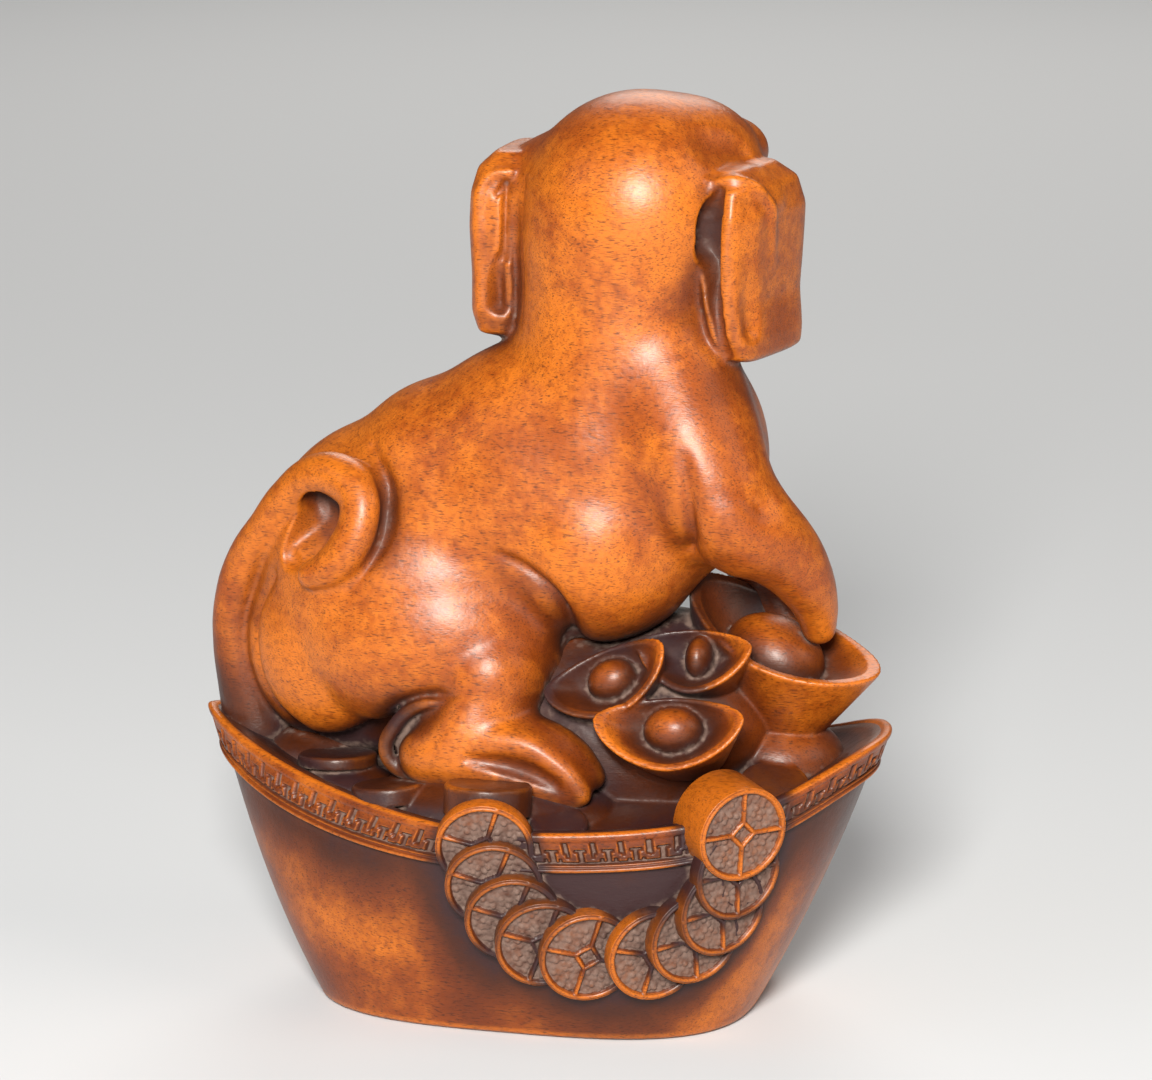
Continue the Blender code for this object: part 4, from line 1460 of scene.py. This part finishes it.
        # Wax polishes what a cloth can reach, and the sheltered ground stays dull.
        shut = add(
            "ShaderNodeMath", {"operation": "MAXIMUM"}, in_0=values["hollow"], in_1=values["sunk"],
        ).outputs[0]
        worn = add(
            "ShaderNodeMapRange", soft_step, Value=shut,
            in_1=0.2, in_2=0.7, in_3=self.polish, in_4=self.dull,
        ).outputs[0]
        rough = add("ShaderNodeMath", {"operation": "ADD"}, in_0=worn, in_1=values["uneven"]).outputs[0]
        bump = add(
            "ShaderNodeBump", Strength=self.relief, Distance=self.relief_mm * MM, Height=values["grain"],
        ).outputs[0]
        shader = add(
            "ShaderNodeBsdfPrincipled", Base_Color=colour, Roughness=rough, IOR=self.ior, Normal=bump,
            Specular_IOR_Level=self.specular, Coat_Weight=self.wax, Coat_Roughness=self.wax_roughness,
        )
        add("ShaderNodeOutputMaterial", Surface=shader.outputs[0])
        return finish.material


@dataclass(frozen=True)
class Lamp:
    """A soft square lamp that looks at the figurine.

    Attributes:
        name: its name.
        yaw: degrees right of -Y.
        rise: degrees up.
        distance: metres away.
        size: the side of the lamp in metres.
        power: watts.
        warmth: the light's colour.
        shine: how strongly it mirrors in the polish.
    """

    name: str
    yaw: float
    rise: float
    distance: float
    size: float
    power: float
    warmth: str
    shine: float


@dataclass
class Studio:
    """A plain pale floor, soft lamps and a camera that stands where the photographer stood."""

    lamps: tuple[Lamp, ...] = (
        Lamp("key", 9, 27, 0.75, 0.18, 11.0, "#FFFAF2", 1.2),
        Lamp("fill_left", -55, 30, 1.0, 0.5, 0.8, "#EEF4FF", 0.3),
        Lamp("fill_right", 80, 35, 1.0, 0.5, 2.0, "#FFF4E6", 0.25),
        Lamp("back", 190, 35, 1.0, 0.5, 3.6, "#FFF8EE", 0.25),
    )
    air_colour: str = "#C8CCD2"
    air_light: float = 0.12
    distance: float = 0.52
    yaw: float = 14.0
    rise: float = 14.0
    right: float = 0.00331
    height: float = 0.04947
    lens: float = 152.75
    floor_colour: str = "#D2D6DB"
    floor_size: float = 6.0

    def point(self, yaw: float, rise: float, distance: float) -> Vector:
        """A point round the figurine, by degrees right of -Y, degrees up, and metres."""
        turn, lift = math.radians(yaw), math.radians(rise)
        way = Vector((math.sin(turn) * math.cos(lift), -math.cos(turn) * math.cos(lift), math.sin(lift)))
        return way * distance

    def camera(self) -> None:
        """Sets the camera up."""
        yaw = math.radians(self.yaw)
        target = Vector((math.cos(yaw) * self.right, math.sin(yaw) * self.right, self.height))
        data = bpy.data.cameras.new("camera")
        data.lens = self.lens
        data.sensor_width = 36
        data.clip_start = 0.01
        camera = bpy.data.objects.new("camera", data)
        camera.location = target + self.point(self.yaw, self.rise, self.distance)
        camera.rotation_euler = (target - camera.location).to_track_quat("-Z", "Y").to_euler()
        bpy.context.scene.collection.objects.link(camera)
        bpy.context.scene.camera = camera

    def light(self, lamp: Lamp) -> None:
        """Hangs a lamp.

        Args:
            lamp: which one.
        """
        data = bpy.data.lights.new(lamp.name, "AREA")
        data.size = lamp.size
        data.energy = lamp.power
        data.color = linear(lamp.warmth)[:3]
        data.specular_factor = lamp.shine
        made = bpy.data.objects.new(lamp.name, data)
        middle = Vector((0, 0, self.height))
        made.location = middle + self.point(lamp.yaw, lamp.rise, lamp.distance)
        made.rotation_euler = (middle - made.location).to_track_quat("-Z", "Y").to_euler()
        bpy.context.scene.collection.objects.link(made)

    def floor(self) -> None:
        """Lays the floor."""
        sheet = bmesh.new()
        bmesh.ops.create_grid(sheet, x_segments=2, y_segments=2, size=self.floor_size / 2)
        mesh = bpy.data.meshes.new("floor")
        sheet.to_mesh(mesh)
        sheet.free()
        finish = Finish("pale_paper")
        # Uncoated paper scatters nearly all the light that it sends back.
        shader = finish.node(
            "ShaderNodeBsdfPrincipled", Base_Color=linear(self.floor_colour), Roughness=0.9,
            Specular_IOR_Level=0.1,
        )
        finish.node("ShaderNodeOutputMaterial", Surface=shader.outputs[0])
        mesh.materials.append(finish.material)
        floor = bpy.data.objects.new("floor", mesh)
        # Just below the foot, so that the two faces don't flicker.
        floor.location.z = -0.2 * MM
        bpy.context.scene.collection.objects.link(floor)

    def build(self) -> None:
        """Builds the studio."""
        self.floor()
        self.camera()
        for lamp in self.lamps:
            self.light(lamp)
        world = bpy.data.worlds.new("world")
        world.use_nodes = True
        air = world.node_tree.nodes["Background"].inputs
        air["Color"].default_value = linear(self.air_colour)
        air["Strength"].default_value = self.air_light
        bpy.context.scene.world = world
        bpy.context.scene.view_settings.view_transform = "Standard"


@dataclass
class Figurine:
    """The whole carving: it builds each part, marks its hollows and dresses it."""

    finish: StainedBoxwood = field(default_factory=StainedBoxwood)
    # The bowl's wall is drawn darker all over than the puppy, by a raise of its painted shade.
    wall_darkening: float = 0.12

    def build(self) -> dict[str, bpy.types.Mesh]:
        """Builds the parts in millimetres.

        Returns:
            A mesh for each part's name.
        """
        bowl = Bowl()
        body = bowl.build_body()
        wall = Skin(body).tree()
        makers: dict[str, Callable[[], bpy.types.Mesh]] = {
            "puppy": Puppy(bowl).build,
            "treasure": Treasure(bowl).build,
            "fret_band": bowl.build_band,
            "coin_swag": lambda: Swag(bowl).build(wall),
        }
        meshes = {"bowl": body}
        for name, make in makers.items():
            meshes[name] = make()
        return meshes

    def dress(self, meshes: dict[str, bpy.types.Mesh]) -> None:
        """Marks, scales and finishes the parts.

        Args:
            meshes: the parts in millimetres.
        """
        skins = {name: Skin(mesh) for name, mesh in meshes.items()}
        points, faces, start = [], [], 0
        for skin in skins.values():
            points += skin.points.tolist()
            faces += [tuple(start + v for v in p.vertices) for p in skin.mesh.polygons]
            start += len(skin.points)
        everything = BVHTree.FromPolygons(points, faces)
        low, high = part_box(NODE)
        fit = Matrix.Scale((high.z - low.z) / DRAWN_HEIGHT, 4)
        material = self.finish.build()
        for name, skin in skins.items():
            mark_skin(skin, everything, self.wall_darkening if name == "bowl" else 0.0)
            mesh = skin.mesh
            mesh.name = name
            mesh.transform(fit)
            mesh.materials.clear()
            mesh.materials.append(material)
            mesh.shade_smooth()
            piece = bpy.data.objects.new(name, mesh)
            bpy.context.scene.collection.objects.link(piece)
            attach(piece, BODY)
            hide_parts(NODE)
            triangles = sum(len(p.vertices) - 2 for p in mesh.polygons)
            log.info("%s: %d triangles", name, triangles)


def main() -> None:
    """Builds the figurine and the studio."""
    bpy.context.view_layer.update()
    figurine = Figurine()
    figurine.dress(figurine.build())
    Studio().build()


if __name__ == "__main__":
    main()
